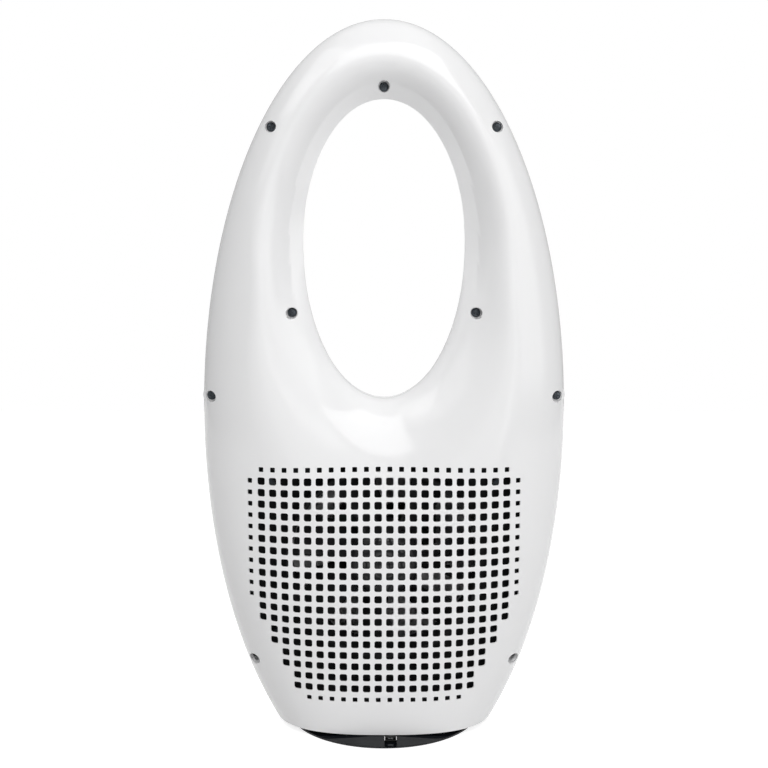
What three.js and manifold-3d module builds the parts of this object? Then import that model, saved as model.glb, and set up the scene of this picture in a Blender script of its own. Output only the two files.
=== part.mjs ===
// Bladeless table fan with an oval loop, standing on a round swivelling foot.
// Millimetres, +Z up. The origin is under the middle of the foot. The intake side faces -Y and the air
// leaves towards +Y.
import * as THREE from 'three';
import { mergeVertices } from 'three/addons/utils/BufferGeometryUtils.js';
import Module from 'manifold-3d';

const wasm = await Module();
wasm.setup();

// ---- driving dimensions ----

// Outline of the casing, seen from the front: an ellipse cut off level at the bottom.
const outlineHalfWidth = 111.7;
const outlineMidHeight = 193.6;
const outlineRise = 239.9;
const outlineDrop = 239;
const rimHeight = 4.4;

// Depth of the casing, from the parting plane to each face.
const waistDepth = 51.6;
const waistHeight = 89;
const rimTuck = 2.6;
const headTaper = 0.33;
const crownPower = 8;
const bulgePower = 2.6;

// Loop through the casing, measured at the rear cover's lip. Its mouth is wider at the front.
const loopMidHeight = 300;
const loopHalfWidth = 49.1;
const loopRise = 86.2;
const loopDrop = 94.2;
const loopWidening = 4;
const loopLipDepth = 10;
const loopRing = 8.2;
const loopRingSlope = 0.7;
const loopRoll = 30;
const loopRollBelow = 102;

// Walls and clearances.
const wall = 2.2;
const gap = 0.3;
const seam = 0.15;

// Air slit round the loop: the front cover's inner wall flares out behind the rear cover's lip.
const slitMouth = 3;
const flareOut = 2.5;
const flareLength = 1.1;
const flareOverlap = 0.2;

// Intake grille: square holes on a square grid.
const holePitch = 7;
const bigHole = 4.5;
const smallHole = 2.9;
const holeRows = 21;
const straightRows = 11;
const fullRowHoles = 22;
const firstRowHoles = 16;
const bottomRowHoles = 14;
const rowsPerStep = 2;
const lowestRowHeight = 27;
const grilleMargin = 3.6;
const grilleHalfWidthLow = 54;
const grilleWindowFrom = 20;

// Casing screws.
const screwHeadRadius = 2.8;
const screwHeadHeight = 2;
const screwShankRadius = 1.25;
const screwLength = 12;
const holeSpare = 1;
const recessRadius = 3.5;
const bossRadius = 5.2;
const bossFloor = 2;
const postRadius = 4;
const recessDepth = 6;
const topRecessDepth = 4;
const lowRecessDepth = 12.5;
const topScrewRise = 6.8;
const shoulderScrewHeight = 369.3;
const shoulderScrewInset = 8.99;
const innerScrewHeight = 259;
const innerScrewOut = 11.3;
const hipScrewHeight = 208.3;
const hipScrewInset = 6.3;
const lowScrewHeight = 45;
const lowScrewInset = 7.4;

// Foot.
const footRadius = 60;
const footEdgeHeight = 1.6;
const brimMargin = 1.2;
const brimHeight = 3.9;
const crownClearance = 2.45;
const crownHeight = 7.4;
const crownDraft = 0.3;
const footWall = 1.8;
const footLift = 0.5;
const footPlateSetback = 0.1;
const footPlateMargin = 1.6;
const footPlateThickness = 1.6;
const padRadius = 5;
const padInset = 7.6;
const padRecess = 0.8;
const footScrewInset = 14.6;
const footScrewReach = 3.9;
const footScrewSink = 2;
const footScrewRoof = 0.6;
const dimpleWall = 1;
const ballastMargin = 2.8;
const ballastThickness = 2.6;
const inletOffset = 4;
const inletWidth = 6.8;
const inletHeight = 2.6;
const inletLength = 6;
const inletWall = 0.55;
const inletFloor = 1.5;
const inletFloorHeight = 0.5;
const inletCheekHeight = 3.2;
const contactThickness = 0.5;
const contactSetback = 0.6;

// Swivel.
const spindleRadius = 9;
const spindleBore = 5.5;
const spindleFlangeRadius = 15;
const spindleFlangeThickness = 1.8;
const washerRadius = 24;
const washerThickness = 0.7;
const basePlateThickness = 2.5;
const collarWall = 3.4;
const collarRise = 2.2;
const gearModule = 1.2;
const fixedTeeth = 30;
const pinionTeeth = 10;
const gearThickness = 5.5;
const gearBacklash = 0.25;
const toothRoot = 1.15;
const toothTip = 0.9;
const toothRootShare = 0.3;
const toothTipShare = 0.115;
const motorAboveGear = 2.8;
const pinionShaftRadius = 2.2;
const clipWall = 3.7;
const clipThickness = 1.2;
const swivelMotorRadius = 14;
const swivelMotorHeight = 19;
const swivelMotorOffset = 8;
const swivelMotorEar = 20;
const earThickness = 1;
const motorScrewLength = 8;
const motorPlugHalfWidth = 7;
const motorPlugProud = 2.5;
const motorPlugFoot = 3;
const motorPlugHead = 1;
const motorPostRadius = 3.2;
const basePostInset = 12.07;
const basePostDepth = 7.3;
const basePostRadius = 6;
const basePostHeight = 9.7;
const baseScrewLength = 9;

// Fan unit, on an axis along Y.
const fanHeight = 107;
const ductRadius = 58;
const ductWall = 2.2;
const ductLength = 27.5;
const dividerFace = 5.5;
const dividerThickness = 2.5;
const dividerAboveFlange = 2;
const dividerAboveSpindle = 1;
const housingPostHigh = 152;
const housingPostHighInset = 39.47;
const housingPostLow = 56;
const housingPostLowInset = 23.67;
const bracketFlangeRadius = 68;
const bracketThickness = 2.5;
const bracketScrewCircle = 64;
const bracketScrewLength = 9;
const bracketBossRadius = 3.5;
const bracketBossLength = 8;
const bracketHubRadius = 22.5;
const bracketSpokes = 5;
const spokeWidth = 5;
const spokeDepth = 6;
const spokeBite = 2;
const bearingTubeRadius = 6.5;
const bearingTubeSetback = 0.6;
const bearingRadius = 4;
const bearingLength = 3;
const bearingLip = 1;
const shaftRadius = 1.5;
const statorRadius = 17.2;
const statorTeeth = 6;
const statorLength = 6;
const statorSetback = 3.4;
const yokeThickness = 2.4;
const armWidth = 2;
const coilLength = 8;
const coilWidth = 4;
const coilInset = 3;
const shoeWidth = 7.2;
const shoeThickness = 1.6;
const airGap = 0.4;
const boardThickness = 1.4;
const boardStandoff = 0.9;
const boardMargin = 1;
const magnetThickness = 2;
const magnetLength = 10;
const canWall = 0.8;
const canSetback = 0.5;
const hubStandoff = 3.8;
const hubWall = 2;
const hubLength = 14.5;
const noseLength = 14;
const noseRadius = 7.5;
const noseSwell = 2;
const noseSwellShare = 0.55;
const shaftSetback = 3;
const bladeCount = 7;
const bladeTipGap = 1.5;
const bladeThickness = 1.6;
const bladeTwist = 34;
const bladeDepth = 21;
const bladeRootBite = 1.2;
const bladeTipNarrowing = 0.12;
const bladeTipUntwist = 0.35;
const bladeSweep = 10;
const capRadius = 7;
const capHeight = 2.6;
const capShoulder = 0.8;
const capRise = 0.7;

// Controls on the front.
const panelHeight = 112;
const panelHalfWidth = 33;
const panelHalfHeight = 12;
const panelFlange = 2;
const panelFlangeThickness = 1.5;
const panelFlangeSink = 6.6;
const buttonRadius = 4.75;
const buttonPitch = 20;
const buttonProud = 0.8;
const buttonEdge = 0.5;
const buttonTravel = 1;
const buttonFlangeRadius = 6;
const buttonFlangeThickness = 1.7;
const switchHeight = 1.8;
const switchHalfWidth = 3;
const stemRadius = 1.5;
const stemLength = 2.5;
const boardHalfWidth = 34;
const boardHalfHeight = 11;
const boardPegRadius = 2;
const boardPegAcross = 30;
const boardPegReach = 0.8;
const boardPegShoulder = 1.2;
const switchBite = 0.2;

// Fineness of the faceted surfaces.
const rimSteps = 10;
const arcSteps = 30;
const radialSteps = 8;
const loopFineness = 0.75;
const footSides = 28;
const fineSides = 22;
const roundSides = 16;
const turnedSides = 18;
const bossSides = 8;
const screwSides = 6;
const grilleEdgeSteps = 6;
const bladeSpans = 3;
const bladeChords = 2;

// ---- sizes that follow from them ----

const white = { color: 0xf4f4f5, roughness: 0.16, metalness: 0 };
const charcoal = { color: 0x2b2d31, roughness: 0.2, metalness: 0 };
const blackPlastic = { color: 0x1d1e20, roughness: 0.55, metalness: 0 };
const smokedPlastic = { color: 0x8f9296, roughness: 0.3, metalness: 0 };
const greyPlastic = { color: 0xb9bbbd, roughness: 0.5, metalness: 0 };
const acetal = { color: 0xe6e4dc, roughness: 0.45, metalness: 0 };
const screwSteel = { color: 0x4a4f55, roughness: 0.4, metalness: 0.9 };
const steel = { color: 0xa7abb0, roughness: 0.35, metalness: 0.95 };
const ferrite = { color: 0x3a3b3d, roughness: 0.7, metalness: 0.2 };
const copper = { color: 0xb06a3a, roughness: 0.45, metalness: 0.8 };
const boardGreen = { color: 0x1f5a3a, roughness: 0.5, metalness: 0 };
const rubber = { color: 0x222222, roughness: 0.9, metalness: 0 };

const beyond = 2 * waistDepth;
const holeRadius = screwShankRadius + gap;
const screwEnd = screwLength + holeSpare;
const rimHalfWidth = outlineHalfWidthAt(rimHeight);
const rimTurn = Math.acos((outlineMidHeight - rimHeight) / outlineDrop);
const topRowHeight = lowestRowHeight + (holeRows - 1) * holePitch;
const grilleTop = topRowHeight + grilleMargin + bigHole / 2;
const grilleBottom = lowestRowHeight - grilleMargin - smallHole / 2;
const grilleKneeHeight = topRowHeight - straightRows * holePitch;
const grilleHalfWidthHigh = (fullRowHoles + 1) / 2 * holePitch + grilleMargin + smallHole / 2;

const rimDepth = depthAt(-1, 0, rimHeight);
const brimRadius = rimDepth + seam + brimMargin;
const crownRadius = rimDepth - wall - crownClearance;
const footPlateRadius = brimRadius - footPlateMargin;
const padCircle = brimRadius - padInset;
const footScrewCircle = crownRadius - footScrewInset;
const ballastRadius = crownRadius - footWall - ballastMargin;
const footPlateBottom = footLift + footPlateSetback;
const footPlateTop = footPlateBottom + footPlateThickness;
const crownUnderside = crownHeight - footWall;
const footSeat = footPlateBottom + footScrewSink;
const dimpleRadius = postRadius + dimpleWall;
const inletBottom = footLift + inletFloorHeight;
const spindleFlangeTop = crownUnderside - gap;
const washerBottom = crownHeight + gap;
const basePlateBottom = washerBottom + washerThickness + gap;
const basePlateTop = basePlateBottom + basePlateThickness;
const postNormal = faceNormal(1, rimHalfWidth - basePostInset, basePlateTop).setZ(0).normalize();
const basePostAcross = rimHalfWidth - basePostInset - basePostDepth * postNormal.x;
const basePostFace = depthAt(1, rimHalfWidth - basePostInset, basePlateTop);
const basePostDeep = basePostFace - basePostDepth * postNormal.y;
const collarTop = basePlateTop + collarRise;
const gearBottom = collarTop + gap;
const gearTop = gearBottom + gearThickness;
const clipBottom = gearTop + gap;
const spindleTop = clipBottom + clipThickness + gap;
const gearDistance = gearModule * (fixedTeeth + pinionTeeth) / 2 + gearBacklash / 2;
const swivelMotorBottom = gearTop + motorAboveGear;

const dividerTop = fanHeight + bracketFlangeRadius + dividerAboveFlange;
const dividerBottom = spindleTop + dividerAboveSpindle;
const dividerBack = dividerFace + dividerThickness;
const ductBack = dividerFace + ductLength;
const bracketBack = dividerFace - gap;
const bracketFront = bracketBack - bracketThickness;
const bearingFront = bracketFront + bearingLip + gap;
const hubRadius = statorRadius + airGap + magnetThickness + gap + canWall + gap + hubWall;
const hubFront = bracketBack + hubStandoff;
const statorFront = hubFront + statorSetback;
const hubBack = hubFront + hubLength;
const hubInnerBack = hubBack - hubWall;
const hubInnerRadius = hubRadius - hubWall;
const canRadius = hubInnerRadius - gap;
const canBack = hubInnerBack - gap;
const tubeBack = canBack - canWall - bearingTubeSetback;
const bearingBack = tubeBack - bearingLength - gap;
const magnetRadius = canRadius - canWall - gap;
const magnetBack = canBack - canWall - gap;
const noseBack = hubBack + noseLength;
const bladeRadius = ductRadius - bladeTipGap;

const panelFlangeFront = waistDepth - panelFlangeSink;
const panelFlangeBack = panelFlangeFront - panelFlangeThickness;
const buttonFlangeBack = panelFlangeBack - gap - buttonFlangeThickness;
const stemEnd = buttonFlangeBack - stemLength;
const switchFace = stemEnd - buttonTravel - gap;
const boardFront = switchFace - switchHeight;
const boardBack = boardFront - boardThickness;

const casingScrews = [
  { name: 'cover_screw_top', x: 0, z: loopMidHeight + loopRise + topScrewRise, sink: topRecessDepth },
  ...pair('cover_screw_shoulder', fromOutline(shoulderScrewHeight, shoulderScrewInset), recessDepth),
  ...pair('cover_screw_inner', fromLoop(innerScrewHeight, innerScrewOut), recessDepth),
  ...pair('cover_screw_hip', fromOutline(hipScrewHeight, hipScrewInset), recessDepth),
  ...pair('cover_screw_low', fromOutline(lowScrewHeight, lowScrewInset), lowRecessDepth),
];
for (const screw of casingScrews) {
  screw.seat = depthAt(-1, screw.x, screw.z) - screw.sink;
}

const housingScrews = [
  ...pair('housing_screw_high', fromOutline(housingPostHigh, housingPostHighInset), 0),
  ...pair('housing_screw_low', fromOutline(housingPostLow, housingPostLowInset), 0),
];

// Place at a height, at a distance inside the casing's outline.
function fromOutline(z, inset) {
  return [outlineHalfWidthAt(z) - inset, z];
}

// Place at a height, at a distance outside the loop's edge.
function fromLoop(z, out) {
  const part = (z - loopMidHeight) / (z > loopMidHeight ? loopRise : loopDrop);
  return [loopHalfWidth * Math.sqrt(1 - part * part) + out, z];
}

function pair(name, place, sink) {
  return [
    { name: `${name}_left`, x: -place[0], z: place[1], sink },
    { name: `${name}_right`, x: place[0], z: place[1], sink },
  ];
}

// ---- solids: closed geometry in, closed geometry out ----

// Merges a geometry's shared vertices, drops empty triangles and turns its faces outwards.
function closed(geometry) {
  const bare = new THREE.BufferGeometry();
  bare.setAttribute('position', geometry.getAttribute('position'));
  bare.setIndex(geometry.index);
  const merged = mergeVertices(bare, 1e-4);
  const index = merged.index.array;
  const points = merged.getAttribute('position').array;
  const faces = [];
  let volume = 0;
  for (let i = 0; i < index.length; i += 3) {
    const [a, b, c] = [index[i], index[i + 1], index[i + 2]];
    if (a === b || b === c || c === a) continue;
    faces.push(a, b, c);
    const [p, q, r] = [a, b, c].map((k) => new THREE.Vector3().fromArray(points, 3 * k));
    volume += p.dot(q.cross(r));
  }
  if (volume < 0) {
    for (let i = 0; i < faces.length; i += 3) {
      [faces[i], faces[i + 1]] = [faces[i + 1], faces[i]];
    }
  }
  merged.setIndex(faces);
  return merged;
}

function toManifold(geometry) {
  const shape = closed(geometry);
  return new wasm.Manifold(new wasm.Mesh({
    numProp: 3,
    vertProperties: new Float32Array(shape.getAttribute('position').array),
    triVerts: new Uint32Array(shape.index.array),
  }));
}

function fromManifold(manifold) {
  const mesh = manifold.getMesh();
  const geometry = new THREE.BufferGeometry();
  geometry.setAttribute('position', new THREE.BufferAttribute(new Float32Array(mesh.vertProperties), 3));
  geometry.setIndex(new THREE.BufferAttribute(new Uint32Array(mesh.triVerts), 1));
  return geometry;
}

function join(...shapes) {
  return fromManifold(shapes.map(toManifold).reduce((a, b) => a.add(b)));
}

function cut(base, ...tools) {
  return fromManifold(tools.map(toManifold).reduce((a, b) => a.subtract(b), toManifold(base)));
}

function common(a, b) {
  return fromManifold(toManifold(a).intersect(toManifold(b)));
}

// Round bar along Y between two depths.
function barY(radius, from, to, x = 0, z = 0, sides = roundSides) {
  const bar = new THREE.CylinderGeometry(radius, radius, Math.abs(to - from), sides);
  return bar.translate(x, (from + to) / 2, z);
}

// Round bar along Z between two heights.
function barZ(radius, from, to, x = 0, y = 0, sides = roundSides) {
  const bar = new THREE.CylinderGeometry(radius, radius, Math.abs(to - from), sides);
  return bar.rotateX(Math.PI / 2).translate(x, y, (from + to) / 2);
}

function block(x0, x1, y0, y1, z0, z1) {
  const box = new THREE.BoxGeometry(x1 - x0, y1 - y0, z1 - z0);
  return box.translate((x0 + x1) / 2, (y0 + y1) / 2, (z0 + z1) / 2);
}

// Turned shape about Z, from a closed profile of [radius, height] points.
function turnedZ(profile, sides = fineSides) {
  const points = [...profile, profile[0]].map(([r, h]) => new THREE.Vector2(r, h));
  return new THREE.LatheGeometry(points, sides).rotateX(Math.PI / 2);
}

// Turned shape about the fan's axis, from a closed profile of [radius, depth behind the parting plane].
function turnedFan(profile, sides = fineSides) {
  const points = [...profile, profile[0]].map(([r, d]) => new THREE.Vector2(r, -d));
  return new THREE.LatheGeometry(points, sides).translate(0, 0, fanHeight);
}

// Plate across Y with the outline of a THREE.Shape drawn in x and z.
function plateY(shape, from, to) {
  const plate = new THREE.ExtrudeGeometry(shape, { depth: Math.abs(to - from), bevelEnabled: false });
  return plate.rotateX(Math.PI / 2).translate(0, Math.max(from, to), 0);
}

// ---- the casing's form ----

// Half-width of the casing's outline at a height.
function outlineHalfWidthAt(z) {
  const reach = z > outlineMidHeight ? outlineRise : outlineDrop;
  const part = Math.min(1, Math.abs(z - outlineMidHeight) / reach);
  return outlineHalfWidth * Math.sqrt(1 - part * part);
}

// Depth of the casing on its middle line, before the loop is rolled in.
function spineDepthAt(z) {
  if (z < waistHeight) {
    return waistDepth - rimTuck * ((waistHeight - z) / waistHeight) ** 2;
  }
  const crown = outlineMidHeight + outlineRise;
  const up = Math.min(1, (z - waistHeight) / (crown - waistHeight));
  return waistDepth * (1 - headTaper * up) * Math.sqrt(1 - up ** crownPower);
}

// Half width of the loop's mouth on one side of the casing, and its reach up or down at a height.
function loopMouth(side, z) {
  const widening = side > 0 ? loopWidening : 0;
  const reach = z > loopMidHeight ? loopRise : loopDrop;
  return { halfWidth: loopHalfWidth + widening, reach: reach + widening };
}

// How far a point of the outline plane is outside the loop, and how long the loop's roll is there.
function loopReach(side, x, z) {
  const mouth = loopMouth(side, z);
  const away = Math.hypot(x, z - loopMidHeight);
  const ratio = Math.hypot(x / mouth.halfWidth, (z - loopMidHeight) / mouth.reach);
  const below = Math.max(0, (loopMidHeight - z) / Math.max(away, 1));
  return { out: away * (1 - 1 / ratio), roll: loopRoll + (loopRollBelow - loopRoll) * below ** 3, below };
}

// How much of a rise the face has made beside the loop: a flat ring, a crease and a swell above and at
// the sides, which turn into one long round below.
function loopRiseShare(rise, out, roll, below) {
  const ring = Math.min(1, loopRing * loopRingSlope / Math.max(rise, 1e-6));
  const beyondRing = Math.max(0, out - loopRing) / (roll - loopRing);
  const stepped = ring * Math.min(1, out / loopRing) + (1 - ring) * Math.sin(beyondRing * Math.PI / 2);
  const round = Math.sqrt(1 - (1 - out / roll) ** 2);
  return stepped + (round - stepped) * below * below;
}

// Depth of the casing's face on one side of the parting plane.
function depthAt(side, x, z) {
  const across = Math.min(1, Math.abs(x) / Math.max(outlineHalfWidthAt(z), 1e-6));
  const full = spineDepthAt(z) * (1 - across ** bulgePower) ** (1 / bulgePower);
  const { out, roll, below } = loopReach(side, x, z);
  if (out >= roll) return full;
  const lip = Math.min(loopLipDepth, full);
  return lip + (full - lip) * loopRiseShare(full - lip, Math.max(0, out), roll, below);
}

// Outward normal of the face at a point, for the side of the casing with the given sign of Y.
function faceNormal(side, x, z) {
  const step = 0.02;
  const slopeX = (depthAt(side, x + step, z) - depthAt(side, x - step, z)) / (2 * step);
  const slopeZ = (depthAt(side, x, z + step) - depthAt(side, x, z - step)) / (2 * step);
  return new THREE.Vector3(-slopeX, side, -slopeZ).normalize();
}

// Pairs of points, one on the outline and one on the loop, joined by the grid's lines.
function gridStations() {
  const stations = [];
  for (let i = 0; i < rimSteps; i++) {
    const along = 2 * i / rimSteps - 1;
    const x = rimHalfWidth * Math.sin(along * Math.PI / 2);
    stations.push({ x, z: rimHeight, turn: along * rimTurn, onRim: i > 0 });
  }
  for (let i = 0; i < arcSteps; i++) {
    const turn = rimTurn + 2 * (Math.PI - rimTurn) * i / arcSteps;
    const reach = Math.cos(turn) < 0 ? outlineRise : outlineDrop;
    const x = outlineHalfWidth * Math.sin(turn);
    stations.push({ x, z: outlineMidHeight - reach * Math.cos(turn), turn, onRim: false });
  }
  return stations;
}

// Point of the loop's edge on one side of the casing at a turn, moved outwards by a distance.
function loopPoint(side, turn, out, y) {
  const up = -Math.cos(turn);
  const mouth = loopMouth(side, loopMidHeight + up);
  const normal = new THREE.Vector2(Math.sin(turn) / mouth.halfWidth, up / mouth.reach).normalize();
  const x = mouth.halfWidth * Math.sin(turn) + out * normal.x;
  const z = loopMidHeight + mouth.reach * up + out * normal.y;
  return new THREE.Vector3(x, y, z);
}

// One line of the casing's face from the outline in to the loop, sunk below the face by an inset.
function faceLine(side, station, inset) {
  const line = [];
  const edge = loopPoint(side, station.turn, 0, 0);
  for (let k = 0; k <= radialSteps; k++) {
    const share = (1 - Math.cos(Math.PI * (k / radialSteps) ** loopFineness)) / 2;
    const x = station.x + (edge.x - station.x) * share;
    const z = station.z + (edge.z - station.z) * share;
    const normal = faceNormal(side, x, z);
    const point = new THREE.Vector3(x, side * (depthAt(side, x, z) + seam), z);
    if (k === 0 && station.onRim) normal.setZ(0).normalize();
    if (k === 0 && !station.onRim) normal.setY(0).normalize();
    if (k === radialSteps) normal.setY(0).normalize();
    point.addScaledVector(normal, -inset);
    if (k === 0) point.z = Math.max(point.z, rimHeight);
    line.push(point);
  }
  return line;
}

// Closed solid between two sheets of points that have the same rows and columns and close round the loop.
function solidBetween(sheetA, sheetB) {
  const rows = sheetA.length;
  const columns = sheetA[0].length;
  const points = [...sheetA.flat(), ...sheetB.flat()].flatMap((p) => [p.x, p.y, p.z]);
  const faces = [];
  const quad = (a, b, c, d) => faces.push(a, b, c, a, c, d);
  for (let i = 0; i < rows; i++) {
    const here = i * columns;
    const next = ((i + 1) % rows) * columns;
    const under = rows * columns;
    for (let k = 0; k < columns - 1; k++) {
      quad(here + k, next + k, next + k + 1, here + k + 1);
      quad(under + here + k, under + here + k + 1, under + next + k + 1, under + next + k);
    }
    const last = columns - 1;
    quad(here, under + here, under + next, next);
    quad(here + last, next + last, under + next + last, under + here + last);
  }
  const geometry = new THREE.BufferGeometry();
  geometry.setAttribute('position', new THREE.Float32BufferAttribute(points, 3));
  geometry.setIndex(faces);
  return geometry;
}

// Solid between the parting plane and the casing's face sunk by an inset.
function casingVolume(side, inset) {
  const face = gridStations().map((station) => faceLine(side, station, inset));
  const flat = face.map((line) => line.map((p) => new THREE.Vector3(p.x, 0, p.z)));
  return solidBetween(face, flat);
}

// Everything inside both covers, less a clearance.
function casingInside(clearance) {
  return join(casingVolume(-1, wall + clearance), casingVolume(1, wall + clearance));
}

const inside = casingInside(gap);

// ---- casing ----

function rearCover() {
  const outer = gridStations().map((station) => faceLine(-1, station, 0));
  const inner = gridStations().map((station) => faceLine(-1, station, wall));
  const bosses = casingScrews.map((s) => barY(bossRadius, -beyond, bossFloor - s.seat, s.x, s.z, screwSides));
  const added = common(join(...bosses, ...basePosts(-1)), casingVolume(-1, wall / 2));
  const shell = join(solidBetween(outer, inner), added);
  const recesses = casingScrews.map((s) => barY(recessRadius, -beyond, -s.seat, s.x, s.z, bossSides));
  const holes = casingScrews.map((s) => barY(holeRadius, -beyond, 0, s.x, s.z, screwSides));
  const window = plateY(grilleOutline(gap), -beyond, -grilleWindowFrom);
  return cut(shell, ...recesses, ...holes, window, ...basePostHoles(-1));
}

function frontCover() {
  const outer = gridStations().map((station) => [...faceLine(1, station, 0), ...loopWall(station, 0)]);
  const inner = gridStations().map((station) => [...faceLine(1, station, wall), ...loopWall(station, wall)]);
  const posts = [
    ...casingScrews.map((s) => barY(postRadius, bossFloor + gap - s.seat, beyond, s.x, s.z, screwSides)),
    ...housingScrews.map((s) => barY(postRadius, -bracketBack, beyond, s.x, s.z, screwSides)),
  ];
  const room = join(casingVolume(1, wall / 2), casingVolume(-1, wall + gap));
  const added = common(join(...posts, ...basePosts(1)), room);
  const shell = join(solidBetween(outer, inner), added);
  const holes = [
    ...casingScrews.map((s) => barY(holeRadius, -beyond, screwEnd - s.seat, s.x, s.z, screwSides)),
    ...housingScrews.map((s) => barY(holeRadius, -beyond, screwEnd - dividerBack, s.x, s.z, screwSides)),
  ];
  const window = plateY(stadium(panelHalfWidth + gap, panelHalfHeight + gap), 0, beyond);
  return cut(shell, ...holes, window, ...basePostHoles(1));
}

// The front cover's wall inside the loop: it narrows to the rear, then flares out behind the rear
// cover's lip.
function loopWall(station, inset) {
  const slitFront = -(loopLipDepth + seam) + slitMouth;
  const flareBack = slitFront - flareLength;
  return [
    loopPoint(-1, station.turn, inset, slitFront),
    loopPoint(-1, station.turn, flareOut + inset, flareBack),
    loopPoint(-1, station.turn, flareOut + inset, flareBack - flareOverlap),
  ];
}

// Upright posts at the bottom of a cover, which take the base plate's screws.
function basePosts(side) {
  const from = basePlateTop + gap;
  const to = from + basePostHeight;
  const y = side * basePostDeep;
  return [-1, 1].map((end) => barZ(basePostRadius, from, to, end * basePostAcross, y, bossSides));
}

function basePostHoles(side) {
  const to = basePlateBottom + baseScrewLength + holeSpare;
  const y = side * basePostDeep;
  return [-1, 1].map((end) => barZ(holeRadius, 0, to, end * basePostAcross, y, screwSides));
}

// ---- intake grille ----

function grilleHalfWidthAt(z) {
  if (z >= grilleKneeHeight) return grilleHalfWidthHigh;
  const share = (z - grilleBottom) / (grilleKneeHeight - grilleBottom);
  return grilleHalfWidthLow + (grilleHalfWidthHigh - grilleHalfWidthLow) * share;
}

function grilleOutline(grow) {
  const corners = [grilleTop + grow, grilleKneeHeight, grilleBottom - grow];
  const widths = [grilleTop, grilleKneeHeight, grilleBottom].map((z) => grilleHalfWidthAt(z) + grow);
  const right = corners.map((z, i) => new THREE.Vector2(widths[i], z));
  const left = corners.map((z, i) => new THREE.Vector2(-widths[i], z)).reverse();
  return new THREE.Shape([...right, ...left]);
}

// Holes of one row, counted from the bottom: how many big ones, and whether small ones end it.
function holesOfRow(row) {
  const top = holeRows - 1;
  if (row === top) return rowOf(fullRowHoles, smallHole, false);
  if (row >= top - straightRows) return rowOf(fullRowHoles, bigHole, true);
  if (row === 0) return rowOf(bottomRowHoles, smallHole, false);
  const steps = Math.floor((row - 1) / rowsPerStep);
  return rowOf(Math.min(fullRowHoles, firstRowHoles + 2 * steps), bigHole, false);
}

function rowOf(count, size, smallEnds) {
  const holes = [];
  for (let i = 0; i < count; i++) {
    holes.push({ x: (i - (count - 1) / 2) * holePitch, half: size / 2 });
  }
  if (!smallEnds) return holes;
  const end = (count + 1) / 2 * holePitch;
  return [{ x: -end, half: smallHole / 2 }, ...holes, { x: end, half: smallHole / 2 }];
}

// Panel of the rear face with its square holes, drawn straight through along Y.
function intakeGrille() {
  const places = [];
  const triangles = [];
  const walls = [];
  const point = (x, z) => places.push([x, z]) - 1;
  const stitch = (upper, lower) => {
    let [u, l] = [0, 0];
    while (u < upper.length - 1 || l < lower.length - 1) {
      const upperNext = u < upper.length - 1 ? places[upper[u + 1]][0] : Infinity;
      const lowerNext = l < lower.length - 1 ? places[lower[l + 1]][0] : Infinity;
      if (upperNext < lowerNext) triangles.push([upper[u], lower[l], upper[++u]]);
      else triangles.push([upper[u], lower[l], lower[++l]]);
    }
  };
  const edgeLine = (z) => {
    const half = grilleHalfWidthAt(z);
    const line = [];
    for (let i = -grilleEdgeSteps; i <= grilleEdgeSteps; i++) {
      line.push(point(half * i / grilleEdgeSteps, z));
    }
    return line;
  };
  let above = edgeLine(grilleTop);
  const leftEdge = [above[0]];
  const rightEdge = [above[above.length - 1]];
  const topLine = above;
  for (let row = holeRows - 1; row >= 0; row--) {
    const z = lowestRowHeight + row * holePitch;
    const holes = holesOfRow(row);
    const endHalf = holes[0].half;
    const high = [point(-grilleHalfWidthAt(z + endHalf), z + endHalf)];
    const low = [point(-grilleHalfWidthAt(z - endHalf), z - endHalf)];
    for (const { x, half } of holes) {
      const signs = [[-1, 1], [1, 1], [-1, -1], [1, -1]];
      const corners = signs.map(([i, k]) => point(x + i * half, z + k * half));
      high.push(corners[0], corners[1]);
      low.push(corners[2], corners[3]);
      walls.push([corners[0], corners[1]], [corners[1], corners[3]]);
      walls.push([corners[3], corners[2]], [corners[2], corners[0]]);
    }
    high.push(point(grilleHalfWidthAt(z + endHalf), z + endHalf));
    low.push(point(grilleHalfWidthAt(z - endHalf), z - endHalf));
    for (let i = 0; i < high.length; i += 2) {
      triangles.push([high[i], low[i], low[i + 1]], [high[i], low[i + 1], high[i + 1]]);
    }
    leftEdge.push(high[0], low[0]);
    rightEdge.push(high[high.length - 1], low[low.length - 1]);
    stitch(above, high);
    above = low;
  }
  const bottomLine = edgeLine(grilleBottom);
  stitch(above, bottomLine);
  leftEdge.push(bottomLine[0]);
  rightEdge.push(bottomLine[bottomLine.length - 1]);
  const sides = [leftEdge, bottomLine, rightEdge.reverse(), topLine.reverse()];
  for (const side of sides) {
    for (let i = 0; i < side.length - 1; i++) walls.push([side[i], side[i + 1]]);
  }
  return perforated(places, triangles, walls);
}

// Gives a flat net of triangles the rear face's shape and thickness, with walls along its edges.
function perforated(places, triangles, walls) {
  const front = places.map(([x, z]) => [x, -(depthAt(-1, x, z) + seam), z]);
  const back = places.map(([x, z], i) => [x, front[i][1] + wall / Math.abs(faceNormal(-1, x, z).y), z]);
  const count = places.length;
  const faces = [];
  for (const [a, b, c] of triangles) faces.push(a, b, c, a + count, c + count, b + count);
  for (const [a, b] of walls) faces.push(b, a, a + count, b, a + count, b + count);
  const geometry = new THREE.BufferGeometry();
  geometry.setAttribute('position', new THREE.Float32BufferAttribute([...front, ...back].flat(), 3));
  geometry.setIndex(faces);
  return geometry;
}

// ---- fasteners ----

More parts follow.
